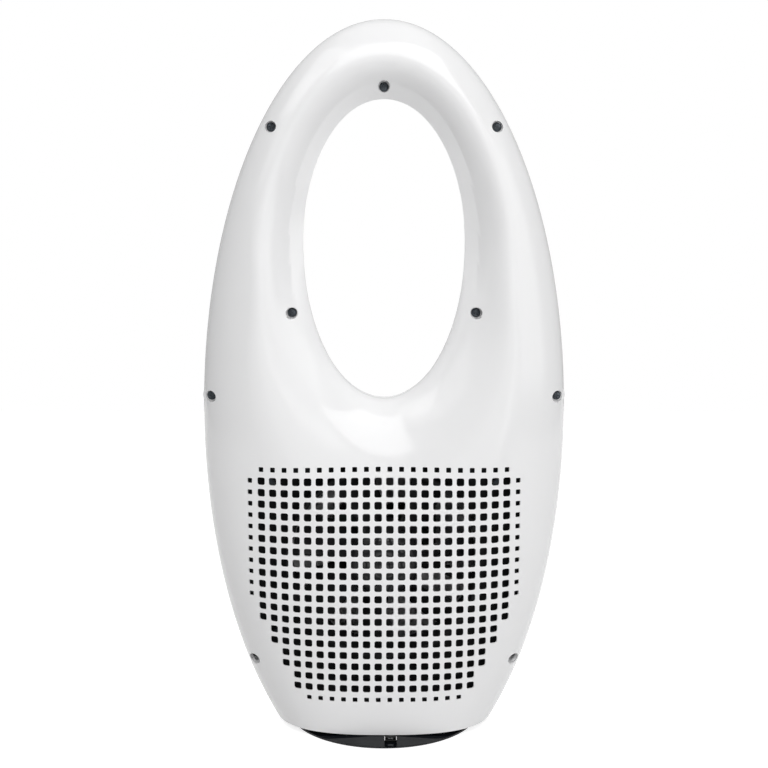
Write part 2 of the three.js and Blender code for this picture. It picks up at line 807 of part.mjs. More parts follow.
// Screw along +Y with the underside of its head at y = 0.
function screwY(length = screwLength) {
  return new THREE.LatheGeometry([
    new THREE.Vector2(0, -screwHeadHeight),
    new THREE.Vector2(screwHeadRadius, -screwHeadHeight),
    new THREE.Vector2(screwHeadRadius, 0),
    new THREE.Vector2(screwShankRadius, 0),
    new THREE.Vector2(screwShankRadius, length),
    new THREE.Vector2(0, length),
  ], screwSides);
}

// ---- foot ----

function footCover() {
  const shape = turnedZ([
    [footRadius, footLift],
    [footRadius, footEdgeHeight],
    [brimRadius, brimHeight],
    [crownRadius + crownDraft, brimHeight],
    [crownRadius, crownHeight],
    [spindleRadius + gap, crownHeight],
    [spindleRadius + gap, crownUnderside],
    [crownRadius - footWall, crownUnderside],
    [crownRadius - footWall, footPlateTop + gap],
    [footPlateRadius + gap, footPlateTop + gap],
    [footPlateRadius + gap, footLift],
  ], footSides);
  const places = footScrewPlaces();
  const roof = crownHeight - footScrewRoof;
  const bosses = places.map(([x, y]) => barZ(postRadius, footSeat + footWall + gap, roof, x, y, bossSides));
  const holes = places.map(([x, y]) => barZ(holeRadius, 0, roof, x, y, screwSides));
  const half = inletWidth / 2 + footWall;
  const cheek = block(
    inletOffset - half, inletOffset + half,
    -brimRadius - footWall, -crownRadius + footWall, footLift, inletCheekHeight,
  );
  const notchHalf = inletWidth / 2 + gap;
  const notch = block(
    inletOffset - notchHalf, inletOffset + notchHalf,
    -2 * footRadius, -(crownRadius + gap), inletBottom, 2 * brimHeight,
  );
  return cut(join(shape, cheek, ...bosses), ...holes, notch);
}

function footScrewPlaces() {
  return [90, 210, 330].map((degrees) => circlePlace(footScrewCircle, degrees));
}

function padPlaces() {
  return [45, 135, 225, 315].map((degrees) => circlePlace(padCircle, degrees));
}

function circlePlace(radius, degrees) {
  const turn = degrees * Math.PI / 180;
  return [radius * Math.cos(turn), radius * Math.sin(turn)];
}

function footPlate() {
  const disc = barZ(footPlateRadius, footPlateBottom, footPlateTop, 0, 0, footSides);
  const places = footScrewPlaces();
  const dimpleTop = footSeat + footWall;
  const dimples = places.map(([x, y]) => barZ(dimpleRadius, footPlateBottom, dimpleTop, x, y, bossSides));
  const sinks = places.map(([x, y]) => barZ(screwHeadRadius + gap, 0, footSeat, x, y, bossSides));
  const holes = places.map(([x, y]) => barZ(holeRadius, 0, crownHeight, x, y, screwSides));
  const padTop = footPlateBottom + padRecess;
  const padSinks = padPlaces().map(([x, y]) => barZ(padRadius + gap, 0, padTop, x, y, bossSides));
  const half = inletWidth / 2 + footWall + gap;
  const back = -crownRadius + footWall + gap;
  const notch = block(inletOffset - half, inletOffset + half, -2 * footRadius, back, 0, crownHeight);
  return cut(join(disc, ...dimples), ...sinks, ...holes, ...padSinks, notch);
}

function ballastPlate() {
  const bottom = footPlateTop + gap;
  const ring = turnedZ([
    [spindleFlangeRadius + gap, bottom],
    [ballastRadius, bottom],
    [ballastRadius, bottom + ballastThickness],
    [spindleFlangeRadius + gap, bottom + ballastThickness],
  ], 18);
  const holes = footScrewPlaces().map(([x, y]) => barZ(dimpleRadius + gap, 0, crownHeight, x, y, bossSides));
  return cut(ring, ...holes);
}

function powerInlet() {
  const bottom = inletBottom + gap;
  const top = bottom + inletHeight;
  const back = -(crownRadius + 2 * gap);
  const mouthEnd = back - inletLength;
  const half = inletWidth / 2;
  const mouthHalf = half - inletWall;
  const body = block(inletOffset - half, inletOffset + half, mouthEnd, back, bottom, top);
  const mouth = block(
    inletOffset - mouthHalf, inletOffset + mouthHalf,
    2 * mouthEnd, back - inletFloor, bottom + inletWall, top - inletWall,
  );
  const middle = (bottom + top) / 2;
  const contact = block(
    inletOffset - mouthHalf / 2, inletOffset + mouthHalf / 2,
    mouthEnd + contactSetback, back - inletFloor / 2,
    middle - contactThickness / 2, middle + contactThickness / 2,
  );
  return join(cut(body, mouth), contact);
}

// ---- swivel ----

function swivelSpindle() {
  return turnedZ([
    [spindleBore, spindleFlangeTop - spindleFlangeThickness],
    [spindleFlangeRadius, spindleFlangeTop - spindleFlangeThickness],
    [spindleFlangeRadius, spindleFlangeTop],
    [spindleRadius, spindleFlangeTop],
    [spindleRadius, spindleTop],
    [spindleBore, spindleTop],
  ], 18);
}

// Flat ring round the spindle.
function spindleRing(outerRadius, from, thickness) {
  const bore = spindleRadius + gap;
  const to = from + thickness;
  return turnedZ([[bore, from], [outerRadius, from], [outerRadius, to], [bore, to]], turnedSides);
}

function spindleClip() {
  return spindleRing(spindleRadius + clipWall, clipBottom, clipThickness);
}

function thrustWasher() {
  return spindleRing(washerRadius, washerBottom, washerThickness);
}

function basePlate() {
  const wide = outlineHalfWidth;
  const slab = block(-wide, wide, -waistDepth, waistDepth, basePlateBottom, basePlateTop);
  const collar = barZ(spindleRadius + gap + collarWall, basePlateBottom, collarTop, 0, 0, turnedSides);
  const postTop = swivelMotorBottom - gap;
  const ears = motorEarPlaces();
  const posts = ears.map(([x, y]) => barZ(motorPostRadius, basePlateBottom, postTop, x, y, bossSides));
  const bore = barZ(spindleRadius + gap, 0, swivelMotorBottom, 0, 0, turnedSides);
  const postHoles = ears.map(([x, y]) => barZ(holeRadius, basePlateTop, swivelMotorBottom, x, y, screwSides));
  const screwHoles = [...basePostHoles(-1), ...basePostHoles(1)];
  return cut(join(common(slab, inside), collar, ...posts), bore, ...postHoles, ...screwHoles);
}

// Spur gear about Z with straight-flanked teeth, a tooth pointing along the given direction.
function spurGear(teeth, bore, thickness, pointing) {
  const pitchRadius = gearModule * teeth / 2;
  const step = 2 * Math.PI / teeth;
  const tooth = [
    [-toothRootShare, -toothRoot], [-toothTipShare, toothTip],
    [toothTipShare, toothTip], [toothRootShare, -toothRoot],
  ];
  const points = [];
  for (let i = 0; i < teeth; i++) {
    for (const [share, rise] of tooth) {
      const turn = pointing + (i + share) * step;
      const radius = pitchRadius + rise * gearModule;
      points.push(new THREE.Vector2(radius * Math.cos(turn), radius * Math.sin(turn)));
    }
  }
  const shape = new THREE.Shape(points);
  if (bore > 0) shape.holes.push(new THREE.Path().absarc(0, 0, bore, 0, 2 * Math.PI, true));
  const options = { depth: thickness, bevelEnabled: false, curveSegments: turnedSides };
  return new THREE.ExtrudeGeometry(shape, options);
}

function fixedGear() {
  return spurGear(fixedTeeth, spindleRadius + gap, gearThickness, Math.PI / 2).translate(0, 0, gearBottom);
}

function oscillationPinion() {
  const betweenTeeth = -Math.PI / 2 + Math.PI / pinionTeeth;
  const gear = spurGear(pinionTeeth, 0, gearThickness, betweenTeeth).translate(0, gearDistance, gearBottom);
  const shaft = barZ(pinionShaftRadius, gearBottom, swivelMotorBottom - gap, 0, gearDistance, bossSides);
  return join(gear, shaft);
}

function motorEarPlaces() {
  return [-1, 1].map((end) => [swivelMotorOffset + end * swivelMotorEar, gearDistance]);
}

function swivelMotor() {
  const bottom = swivelMotorBottom;
  const top = bottom + swivelMotorHeight;
  const can = barZ(swivelMotorRadius, bottom, top, swivelMotorOffset, gearDistance, turnedSides);
  const half = motorPostRadius + gap;
  const ears = block(
    swivelMotorOffset - swivelMotorEar, swivelMotorOffset + swivelMotorEar,
    gearDistance - half, gearDistance + half, bottom, bottom + earThickness,
  );
  const places = motorEarPlaces();
  const ends = places.map(([x, y]) => barZ(half, bottom, bottom + earThickness, x, y, bossSides));
  const holes = places.map(([x, y]) => barZ(holeRadius, 0, top, x, y, screwSides));
  const plug = block(
    swivelMotorOffset - motorPlugHalfWidth, swivelMotorOffset + motorPlugHalfWidth,
    gearDistance, gearDistance + swivelMotorRadius + motorPlugProud,
    bottom + motorPlugFoot, top - motorPlugHead,
  );
  return join(cut(join(ears, ...ends), ...holes), can, common(plug, inside));
}

// ---- fan unit ----

function fanHousing() {
  const wide = outlineHalfWidth;
  const divider = block(-wide, wide, -dividerBack, -dividerFace, dividerBottom, dividerTop);
  const shelfHigh = block(-wide, wide, -beyond, -dividerFace, dividerTop - dividerThickness, dividerTop);
  const shelfLow = block(-wide, wide, -beyond, -dividerFace, dividerBottom, dividerBottom + dividerThickness);
  const duct = barY(ductRadius + ductWall, -ductBack, -dividerFace, 0, fanHeight, fineSides);
  const places = bracketScrewPlaces();
  const bossEnd = -dividerBack - bracketBossLength;
  const bosses = places.map(([x, z]) => barY(bracketBossRadius, bossEnd, -dividerFace, x, z, screwSides));
  const trimmed = common(join(divider, shelfHigh, shelfLow, duct, ...bosses), inside);
  const bore = barY(ductRadius, -beyond, 0, 0, fanHeight, fineSides);
  const clearance = casingScrews.map((s) => barY(bossRadius + 2 * gap, -beyond, 0, s.x, s.z, roundSides));
  const holes = housingScrews.map((s) => barY(holeRadius, -beyond, 0, s.x, s.z, screwSides));
  const bossHoles = places.map(([x, z]) => barY(holeRadius, bossEnd + holeSpare, 0, x, z, screwSides));
  return cut(trimmed, bore, ...clearance, ...holes, ...bossHoles);
}

function bracketScrewPlaces() {
  return [90, 210, 330].map((degrees) => {
    const [x, up] = circlePlace(bracketScrewCircle, degrees);
    return [x, fanHeight + up];
  });
}

function motorBracket() {
  const flange = turnedFan([
    [ductRadius, bracketFront],
    [bracketFlangeRadius, bracketFront],
    [bracketFlangeRadius, bracketBack],
    [ductRadius, bracketBack],
  ]);
  const spokes = [];
  for (let i = 0; i < bracketSpokes; i++) {
    const spoke = block(
      bracketHubRadius - spokeBite, ductRadius + spokeBite,
      -bracketBack, spokeDepth - bracketBack, -spokeWidth / 2, spokeWidth / 2,
    );
    const turn = 2 * Math.PI * i / bracketSpokes + Math.PI / 10;
    spokes.push(spoke.rotateY(turn).translate(0, 0, fanHeight));
  }
  const hub = barY(bracketHubRadius, -bracketBack, -bracketFront, 0, fanHeight, turnedSides);
  const tube = barY(bearingTubeRadius, -tubeBack, -bracketFront, 0, fanHeight, roundSides);
  const bore = barY(bearingRadius + gap, -2 * tubeBack, -bracketFront - bearingLip, 0, fanHeight, roundSides);
  const places = bracketScrewPlaces();
  const holes = places.map(([x, z]) => barY(holeRadius, -tubeBack, beyond, x, z, screwSides));
  return cut(join(flange, ...spokes, hub, tube), bore, ...holes);
}

function ringFan(innerRadius, outerRadius, from, to, sides) {
  return turnedFan([[innerRadius, from], [outerRadius, from], [outerRadius, to], [innerRadius, to]], sides);
}

function motorStator() {
  const from = statorFront;
  const to = from + statorLength;
  const middle = (from + to) / 2;
  const yokeInner = bearingTubeRadius + gap;
  const yokeOuter = yokeInner + yokeThickness;
  const coilEnd = coilLength / 2;
  const shapes = [ringFan(yokeInner, yokeOuter, from, to, roundSides)];
  for (let i = 0; i < statorTeeth; i++) {
    const parts = [
      radialBlock(yokeInner + yokeThickness / 2, statorRadius - shoeThickness / 2, from, to, armWidth),
      radialBlock(yokeOuter, statorRadius - coilInset, middle - coilEnd, middle + coilEnd, coilWidth),
      radialBlock(statorRadius - shoeThickness, statorRadius, from, to, shoeWidth),
    ];
    const turn = 2 * Math.PI * i / statorTeeth;
    shapes.push(...parts.map((part) => part.rotateY(turn).translate(0, 0, fanHeight)));
  }
  const within = barY(statorRadius, -2 * to, 0, 0, fanHeight, fineSides);
  return common(join(...shapes), within);
}

// Block that reaches outwards from the fan's axis between two radii.
function radialBlock(innerRadius, outerRadius, from, to, width) {
  return block(innerRadius, outerRadius, -to, -from, -width / 2, width / 2);
}

function motorBoard() {
  const from = bracketBack + boardStandoff;
  const to = from + boardThickness;
  return ringFan(bearingTubeRadius + gap, statorRadius + boardMargin, from, to, roundSides);
}

function bearing(from) {
  return ringFan(shaftRadius + gap, bearingRadius, from, from + bearingLength, roundSides);
}

function motorShaft() {
  return barY(shaftRadius, -(noseBack - shaftSetback), -bearingFront, 0, fanHeight, bossSides);
}

function rotorCan() {
  return turnedFan([
    [shaftRadius + gap, canBack],
    [canRadius, canBack],
    [canRadius, hubFront + canSetback],
    [canRadius - canWall, hubFront + canSetback],
    [canRadius - canWall, canBack - canWall],
    [shaftRadius + gap, canBack - canWall],
  ], turnedSides);
}

function rotorMagnet() {
  const innerRadius = magnetRadius - magnetThickness;
  return ringFan(innerRadius, magnetRadius, magnetBack - magnetLength, magnetBack, turnedSides);
}

function impeller() {
  const hub = turnedFan([
    [hubRadius, hubFront],
    [hubRadius, hubBack],
    [(hubRadius + noseRadius) / 2 + noseSwell, hubBack + noseLength * noseSwellShare],
    [noseRadius, noseBack],
    [shaftRadius + gap, noseBack],
    [shaftRadius + gap, hubInnerBack],
    [hubInnerRadius, hubInnerBack],
    [hubInnerRadius, hubFront],
  ], turnedSides);
  const blades = [];
  for (let i = 0; i < bladeCount; i++) {
    blades.push(blade().rotateY(2 * Math.PI * i / bladeCount).translate(0, 0, fanHeight));
  }
  return join(hub, ...blades);
}

// One blade from inside the hub to its tip: a plate that leans over as it goes back, swept at its tip.
function blade() {
  const rootRadius = hubRadius - bladeRootBite;
  const rows = [];
  for (let i = 0; i <= bladeSpans; i++) {
    const out = i / bladeSpans;
    const radius = rootRadius + (bladeRadius - rootRadius) * out;
    const twist = bladeTwist * (1 - bladeTipUntwist * out);
    const row = [];
    for (let k = 0; k <= bladeChords; k++) {
      const share = k / bladeChords;
      const depth = hubFront + canSetback + bladeDepth * share * (1 - bladeTipNarrowing * out);
      const lean = THREE.MathUtils.degToRad(twist * (share - 0.5) + bladeSweep * out);
      row.push({ radius, depth, lean });
    }
    rows.push(row);
  }
  const sheet = (offset) => rows.map((row) => row.map(({ radius, depth, lean }) => {
    const turn = lean + offset / radius;
    return [radius * Math.cos(turn), -depth, radius * Math.sin(turn)];
  }));
  return slabBetween(sheet(bladeThickness / 2), sheet(-bladeThickness / 2));
}

// Closed slab between two sheets of points with four open edges.
function slabBetween(sheetA, sheetB) {
  const rows = sheetA.length;
  const columns = sheetA[0].length;
  const under = rows * columns;
  const faces = [];
  const quad = (a, b, c, d) => faces.push(a, b, c, a, c, d);
  const at = (i, k) => i * columns + k;
  for (let i = 0; i < rows - 1; i++) {
    for (let k = 0; k < columns - 1; k++) {
      quad(at(i, k), at(i + 1, k), at(i + 1, k + 1), at(i, k + 1));
      quad(under + at(i, k), under + at(i, k + 1), under + at(i + 1, k + 1), under + at(i + 1, k));
    }
    quad(at(i, 0), under + at(i, 0), under + at(i + 1, 0), at(i + 1, 0));
    const last = columns - 1;
    quad(at(i, last), at(i + 1, last), under + at(i + 1, last), under + at(i, last));
  }
  for (let k = 0; k < columns - 1; k++) {
    quad(at(0, k), at(0, k + 1), under + at(0, k + 1), under + at(0, k));
    const end = rows - 1;
    quad(at(end, k), under + at(end, k), under + at(end, k + 1), at(end, k + 1));
  }
  const geometry = new THREE.BufferGeometry();
  geometry.setAttribute('position', new THREE.Float32BufferAttribute([...sheetA, ...sheetB].flat(2), 3));
  geometry.setIndex(faces);
  return geometry;
}

function impellerCap() {
  const from = noseBack + gap;
  return turnedFan([
    [0, from],
    [capRadius, from],
    [capRadius * capShoulder, from + capHeight * capRise],
    [0, from + capHeight],
  ], roundSides);
}

// ---- controls ----

function stadium(halfWidth, halfHeight) {
  const shape = new THREE.Shape();
  const run = halfWidth - halfHeight;
  shape.absarc(run, 0, halfHeight, -Math.PI / 2, Math.PI / 2, false);
  shape.absarc(-run, 0, halfHeight, Math.PI / 2, 1.5 * Math.PI, false);
  return new THREE.Shape(shape.getPoints(5).map((p) => new THREE.Vector2(p.x, p.y + panelHeight)));
}

function controlPanel() {
  const face = common(
    plateY(stadium(panelHalfWidth, panelHalfHeight), panelFlangeBack, beyond),
    casingVolume(1, 0),
  );
  const border = stadium(panelHalfWidth + panelFlange, panelHalfHeight + panelFlange);
  const flange = plateY(border, panelFlangeBack, panelFlangeFront);
  const pegs = [-boardPegAcross, boardPegAcross].flatMap((x) => [
    barY(boardPegRadius, boardBack - boardPegReach, panelFlangeFront, x, panelHeight, bossSides),
    barY(boardPegRadius + boardPegShoulder, boardFront + gap, panelFlangeFront, x, panelHeight, bossSides),
  ]);
  const holes = buttonPlaces().map((x) => barY(buttonRadius + gap, 0, beyond, x, panelHeight, roundSides));
  return cut(join(face, flange, ...pegs), ...holes);
}

function buttonPlaces() {
  return [-buttonPitch, 0, buttonPitch];
}

function button(x) {
  const face = depthAt(1, x, panelHeight) + seam + buttonProud;
  const profile = [
    [0, stemEnd],
    [stemRadius, stemEnd],
    [stemRadius, buttonFlangeBack],
    [buttonFlangeRadius, buttonFlangeBack],
    [buttonFlangeRadius, buttonFlangeBack + buttonFlangeThickness],
    [buttonRadius, buttonFlangeBack + buttonFlangeThickness],
    [buttonRadius, face - buttonEdge],
    [buttonRadius - buttonEdge, face],
    [0, face],
  ].map(([r, d]) => new THREE.Vector2(r, d));
  return new THREE.LatheGeometry(profile, roundSides).translate(x, 0, panelHeight);
}

function controlBoard() {
  const board = block(
    -boardHalfWidth, boardHalfWidth, boardBack, boardFront,
    panelHeight - boardHalfHeight, panelHeight + boardHalfHeight,
  );
  const pegs = [-boardPegAcross, boardPegAcross];
  const holes = pegs.map((x) => barY(boardPegRadius + gap, 0, beyond, x, panelHeight, bossSides));
  const switches = buttonPlaces().map((x) => block(
    x - switchHalfWidth, x + switchHalfWidth, boardFront - switchBite, switchFace,
    panelHeight - switchHalfWidth, panelHeight + switchHalfWidth,
  ));
  return join(cut(board, ...holes), ...switches);
}

// ---- assembly ----

const fan = new THREE.Group();

function add(name, geometry, finish, x = 0, y = 0, z = 0) {
  const mesh = new THREE.Mesh(closed(geometry), new THREE.MeshStandardMaterial(finish));
  mesh.name = name;
  mesh.position.set(x, y, z);
  fan.add(mesh);
  return mesh;
}

add('foot_cover', footCover(), charcoal);
add('foot_plate', footPlate(), blackPlastic);
add('ballast_plate', ballastPlate(), steel);
add('power_inlet', powerInlet(), steel);
padPlaces().forEach(([x, y], i) => {
  const top = footPlateBottom + padRecess - gap;
  add(`foot_pad_${i + 1}`, barZ(padRadius, 0, top, x, y, bossSides), rubber);
});
footScrewPlaces().forEach(([x, y], i) => {
  add(`foot_screw_${i + 1}`, screwY(footScrewReach), screwSteel, x, y, footSeat).rotation.x = Math.PI / 2;
});
add('swivel_spindle', swivelSpindle(), acetal);
add('fixed_gear', fixedGear(), acetal);
add('spindle_clip', spindleClip(), steel);
add('thrust_washer', thrustWasher(), acetal);

add('base_plate', basePlate(), blackPlastic);
for (const side of [-1, 1]) {
  for (const end of [-1, 1]) {
    const name = `base_screw_${side < 0 ? 'rear' : 'front'}_${end < 0 ? 'left' : 'right'}`;
    const [x, y] = [end * basePostAcross, side * basePostDeep];
    add(name, screwY(baseScrewLength), screwSteel, x, y, basePlateBottom).rotation.x = Math.PI / 2;
  }
}
add('swivel_motor', swivelMotor(), steel);
motorEarPlaces().forEach(([x, y], i) => {
  const seat = swivelMotorBottom + earThickness;
  const screw = add(`swivel_motor_screw_${i + 1}`, screwY(motorScrewLength), screwSteel, x, y, seat);
  screw.rotation.x = -Math.PI / 2;
});
add('oscillation_pinion', oscillationPinion(), acetal);

add('rear_cover', rearCover(), white);
add('intake_grille', intakeGrille(), white);
add('front_cover', frontCover(), white);
for (const { name, x, z, seat } of casingScrews) add(name, screwY(), screwSteel, x, -seat, z);

add('fan_housing', fanHousing(), blackPlastic);
for (const { name, x, z } of housingScrews) add(name, screwY(), screwSteel, x, -dividerBack, z);
add('motor_bracket', motorBracket(), blackPlastic);
bracketScrewPlaces().forEach(([x, z], i) => {
  const screw = add(`bracket_screw_${i + 1}`, screwY(bracketScrewLength), screwSteel, x, -bracketFront, z);
  screw.rotation.x = Math.PI;
});
add('motor_stator', motorStator(), copper);
add('motor_board', motorBoard(), boardGreen);
add('bearing_front', bearing(bearingFront), steel);
add('bearing_rear', bearing(bearingBack), steel);
add('motor_shaft', motorShaft(), steel);
add('rotor_can', rotorCan(), steel);
add('rotor_magnet', rotorMagnet(), ferrite);
add('impeller', impeller(), smokedPlastic);
add('impeller_cap', impellerCap(), smokedPlastic);

add('control_panel', controlPanel(), charcoal);
add('control_board', controlBoard(), boardGreen);
['power', 'speed', 'swing'].forEach((use, i) => add(`button_${use}`, button(buttonPlaces()[i]), greyPlastic));

export default fan;
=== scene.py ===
"""Looks of the bladeless table fan with an oval loop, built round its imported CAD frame, in metres."""

import math

import bmesh
import bpy
from mathutils import Matrix, Vector


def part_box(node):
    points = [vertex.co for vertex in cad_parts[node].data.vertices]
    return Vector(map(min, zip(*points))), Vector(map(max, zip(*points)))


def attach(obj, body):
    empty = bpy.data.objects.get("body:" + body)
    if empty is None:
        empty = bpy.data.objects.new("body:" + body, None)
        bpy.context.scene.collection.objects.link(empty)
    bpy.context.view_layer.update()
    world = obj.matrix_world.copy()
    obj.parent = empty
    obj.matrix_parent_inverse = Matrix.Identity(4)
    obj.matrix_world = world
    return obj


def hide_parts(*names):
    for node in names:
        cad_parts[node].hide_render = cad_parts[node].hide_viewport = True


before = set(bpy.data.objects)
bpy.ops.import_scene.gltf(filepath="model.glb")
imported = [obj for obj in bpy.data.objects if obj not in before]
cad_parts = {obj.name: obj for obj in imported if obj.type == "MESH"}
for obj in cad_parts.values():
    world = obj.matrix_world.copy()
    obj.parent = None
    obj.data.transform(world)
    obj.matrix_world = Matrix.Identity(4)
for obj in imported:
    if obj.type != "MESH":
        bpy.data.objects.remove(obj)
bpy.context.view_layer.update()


# Camera: where the photograph was taken from, behind the fan and a little above its middle. It looks
# slightly down, so that the foot's round edge shows under the casing.
camera_lens = 60.94
camera_film_width = 36
camera_distance = 0.802
camera_height = 0.3256
camera_pitch_down = 8
camera_data = bpy.data.cameras.new("camera")
camera_data.lens = camera_lens
camera_data.sensor_width = camera_film_width
camera = bpy.data.objects.new("camera", camera_data)
camera.location = (0, -camera_distance, camera_height)
camera.rotation_euler = (math.radians(90 - camera_pitch_down), 0, 0)
bpy.context.scene.collection.objects.link(camera)
bpy.context.scene.camera = camera


# Foot pads: four discs of black moulded rubber, pressed and glued into sinks in the foot plate.
# They are spun with a rounded lower edge.
def new_group(name, numbers, outputs):
    """A node group with float inputs, given with their values, and outputs named with their kind."""
    tree = bpy.data.node_groups.new(name, "ShaderNodeTree")
    for label, value in numbers:
        tree.interface.new_socket(label, in_out="INPUT", socket_type="NodeSocketFloat").default_value = value
    for label, kind in outputs:
        tree.interface.new_socket(label, in_out="OUTPUT", socket_type=kind)
    return tree, tree.nodes.new("NodeGroupInput"), tree.nodes.new("NodeGroupOutput")


def grain_group():
    """Fine grain of a moulded or cast surface, as a bumped normal."""
    numbers = [("Scale", 900.0), ("Strength", 0.1), ("Depth", 0.0001)]
    tree, given, result = new_group("surface grain", numbers, [("Normal", "NodeSocketVector")])
    place = tree.nodes.new("ShaderNodeTexCoord")
    noise = tree.nodes.new("ShaderNodeTexNoise")
    bump = tree.nodes.new("ShaderNodeBump")
    noise.inputs["Detail"].default_value = 3
    tree.links.new(place.outputs["Object"], noise.inputs["Vector"])
    tree.links.new(given.outputs["Scale"], noise.inputs["Scale"])
    tree.links.new(given.outputs["Strength"], bump.inputs["Strength"])
    tree.links.new(given.outputs["Depth"], bump.inputs["Distance"])
    tree.links.new(noise.outputs["Fac"], bump.inputs["Height"])
    tree.links.new(bump.outputs["Normal"], result.inputs["Normal"])
    return tree


def blotch_group():
    """Wide soft blotches between two values, for a roughness that isn't quite even."""
    numbers = [("Scale", 30.0), ("Low", 0.1), ("High", 0.2)]
    tree, given, result = new_group("soft blotches", numbers, [("Value", "NodeSocketFloat")])
    place = tree.nodes.new("ShaderNodeTexCoord")
    noise = tree.nodes.new("ShaderNodeTexNoise")
    spread = tree.nodes.new("ShaderNodeMapRange")
    noise.inputs["Detail"].default_value = 4
    noise.inputs["Roughness"].default_value = 0.6
    spread.inputs["From Min"].default_value = 0.3
    spread.inputs["From Max"].default_value = 0.7
    tree.links.new(place.outputs["Object"], noise.inputs["Vector"])
    tree.links.new(given.outputs["Scale"], noise.inputs["Scale"])
    tree.links.new(noise.outputs["Fac"], spread.inputs["Value"])
    tree.links.new(given.outputs["Low"], spread.inputs["To Min"])
    tree.links.new(given.outputs["High"], spread.inputs["To Max"])
    tree.links.new(spread.outputs["Result"], result.inputs["Value"])
    return tree


surface_grain = grain_group()
soft_blotches = blotch_group()


def new_material(name, colour, roughness, blotch_scale=30, grain_scale=900, grain=0.1, metallic=0.0):
    """A material with a Principled node, uneven roughness between two values and a fine grain."""
    material = bpy.data.materials.new(name)
    material.use_nodes = True
    nodes = material.node_tree.nodes
    links = material.node_tree.links
    shader = nodes["Principled BSDF"]
    shader.inputs["Base Color"].default_value = (*colour, 1)
    shader.inputs["Metallic"].default_value = metallic
    blotches = nodes.new("ShaderNodeGroup")
    blotches.node_tree = soft_blotches
    blotches.inputs["Scale"].default_value = blotch_scale
    blotches.inputs["Low"].default_value = roughness[0]
    blotches.inputs["High"].default_value = roughness[1]
    links.new(blotches.outputs["Value"], shader.inputs["Roughness"])
    bumps = nodes.new("ShaderNodeGroup")
    bumps.node_tree = surface_grain
    bumps.inputs["Scale"].default_value = grain_scale
    bumps.inputs["Strength"].default_value = grain
    links.new(bumps.outputs["Normal"], shader.inputs["Normal"])
    return material


same_place = 1e-6


def spun(profile, steps, centre=(0, 0, 0), lying=False):
    """A body turned from (radius, height) corners round an upright axis, or round one along -Y."""
    mesh = bmesh.new()
    corners = [mesh.verts.new((radius, 0, height)) for radius, height in profile]
    edges = [mesh.edges.new(pair) for pair in zip(corners, corners[1:] + corners[:1])]
    bmesh.ops.spin(mesh, geom=corners + edges, axis=(0, 0, 1), cent=(0, 0, 0),
                   angle=2 * math.pi, steps=steps, use_merge=True)
    bmesh.ops.remove_doubles(mesh, verts=mesh.verts, dist=same_place)
    loose = [edge for edge in mesh.edges if not edge.link_faces]
    bmesh.ops.delete(mesh, geom=loose, context="EDGES")
    bmesh.ops.recalc_face_normals(mesh, faces=mesh.faces)
    if lying:
        bmesh.ops.rotate(mesh, verts=mesh.verts, cent=(0, 0, 0), matrix=Matrix.Rotation(math.pi / 2, 3, "X"))
    bmesh.ops.translate(mesh, verts=mesh.verts, vec=centre)
    return mesh


sharp_angle = math.radians(35)


def new_piece(mesh, name, body, material, replaced):
    """The bmesh as an object that rides its body, stands for its CAD nodes and has its material."""
    data = bpy.data.meshes.new(name)
    mesh.to_mesh(data)
    mesh.free()
    data.materials.append(material)
    data.shade_smooth()
    data.set_sharp_from_angle(angle=sharp_angle)
    piece = bpy.data.objects.new(name, data)
    bpy.context.scene.collection.objects.link(piece)
    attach(piece, body)
    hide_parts(*replaced)
    return piece


def rounded(piece, width, segments=2):
    """Rounds the sharp edges of a piece."""
    bevel = piece.modifiers.new("rounded edges", "BEVEL")
    bevel.width = width
    bevel.segments = segments
    bevel.limit_method = "ANGLE"
    bevel.angle_limit = sharp_angle
    bevel.harden_normals = True


rubber = new_material("pad rubber", (0.018, 0.018, 0.019), (0.75, 0.9), grain_scale=1500, grain=0.4)
pad_radius = 0.005
pad_top = 0.0011
pad_rounding = 0.0003
small_sides = 48
for number in range(1, 5):
    low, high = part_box(f"foot_pad_{number}")
    middle = ((low[0] + high[0]) / 2, (low[1] + high[1]) / 2, 0)
    pad = spun([(0, 0), (pad_radius, 0), (pad_radius, pad_top), (0, pad_top)], small_sides, middle)
    pad = new_piece(pad, f"rubber_pad_{number}", "foot", rubber, [f"foot_pad_{number}"])
    rounded(pad, pad_rounding)


# Foot plate, ballast and their screws: a black moulded disc that closes the foot from below over a
# steel weight. The screws have pan heads. These stay as the CAD made them, since nothing shows them.
def paint(nodes, material):
    """Gives CAD nodes their material."""
    for node in nodes:
        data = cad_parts[node].data
        data.materials.clear()
        data.materials.append(material)


black_plastic = new_material("black plastic", (0.016, 0.016, 0.018), (0.45, 0.6), grain_scale=1200,
                             grain=0.25)
plain_steel = new_material("plain steel", (0.5, 0.51, 0.53), (0.25, 0.4), grain_scale=600, metallic=1)
dark_steel = new_material("screw steel", (0.075, 0.085, 0.095), (0.3, 0.42), grain_scale=800, grain=0.15,
                          metallic=0.9)
paint(["foot_plate"], black_plastic)
paint(["ballast_plate"], plain_steel)
paint(["foot_screw_1", "foot_screw_2", "foot_screw_3"], dark_steel)


# Power inlet: a small black moulded socket with a nickel-plated tongue, for a low-voltage plug. It stands
# in the notch at the rear of the foot. The socket is a box with a hollow mouth and rounded corners.
inlet_black = new_material("inlet black", (0.007, 0.007, 0.007), (0.75, 0.9), grain_scale=900, grain=0.1)
nickel = new_material("nickel plate", (0.62, 0.63, 0.64), (0.18, 0.3), grain_scale=700, grain=0.05,
                      metallic=1)
inlet_low, inlet_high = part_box("power_inlet")
inlet_wall = 0.00045
inlet_floor = 0.0015
inlet_corner = 0.0009


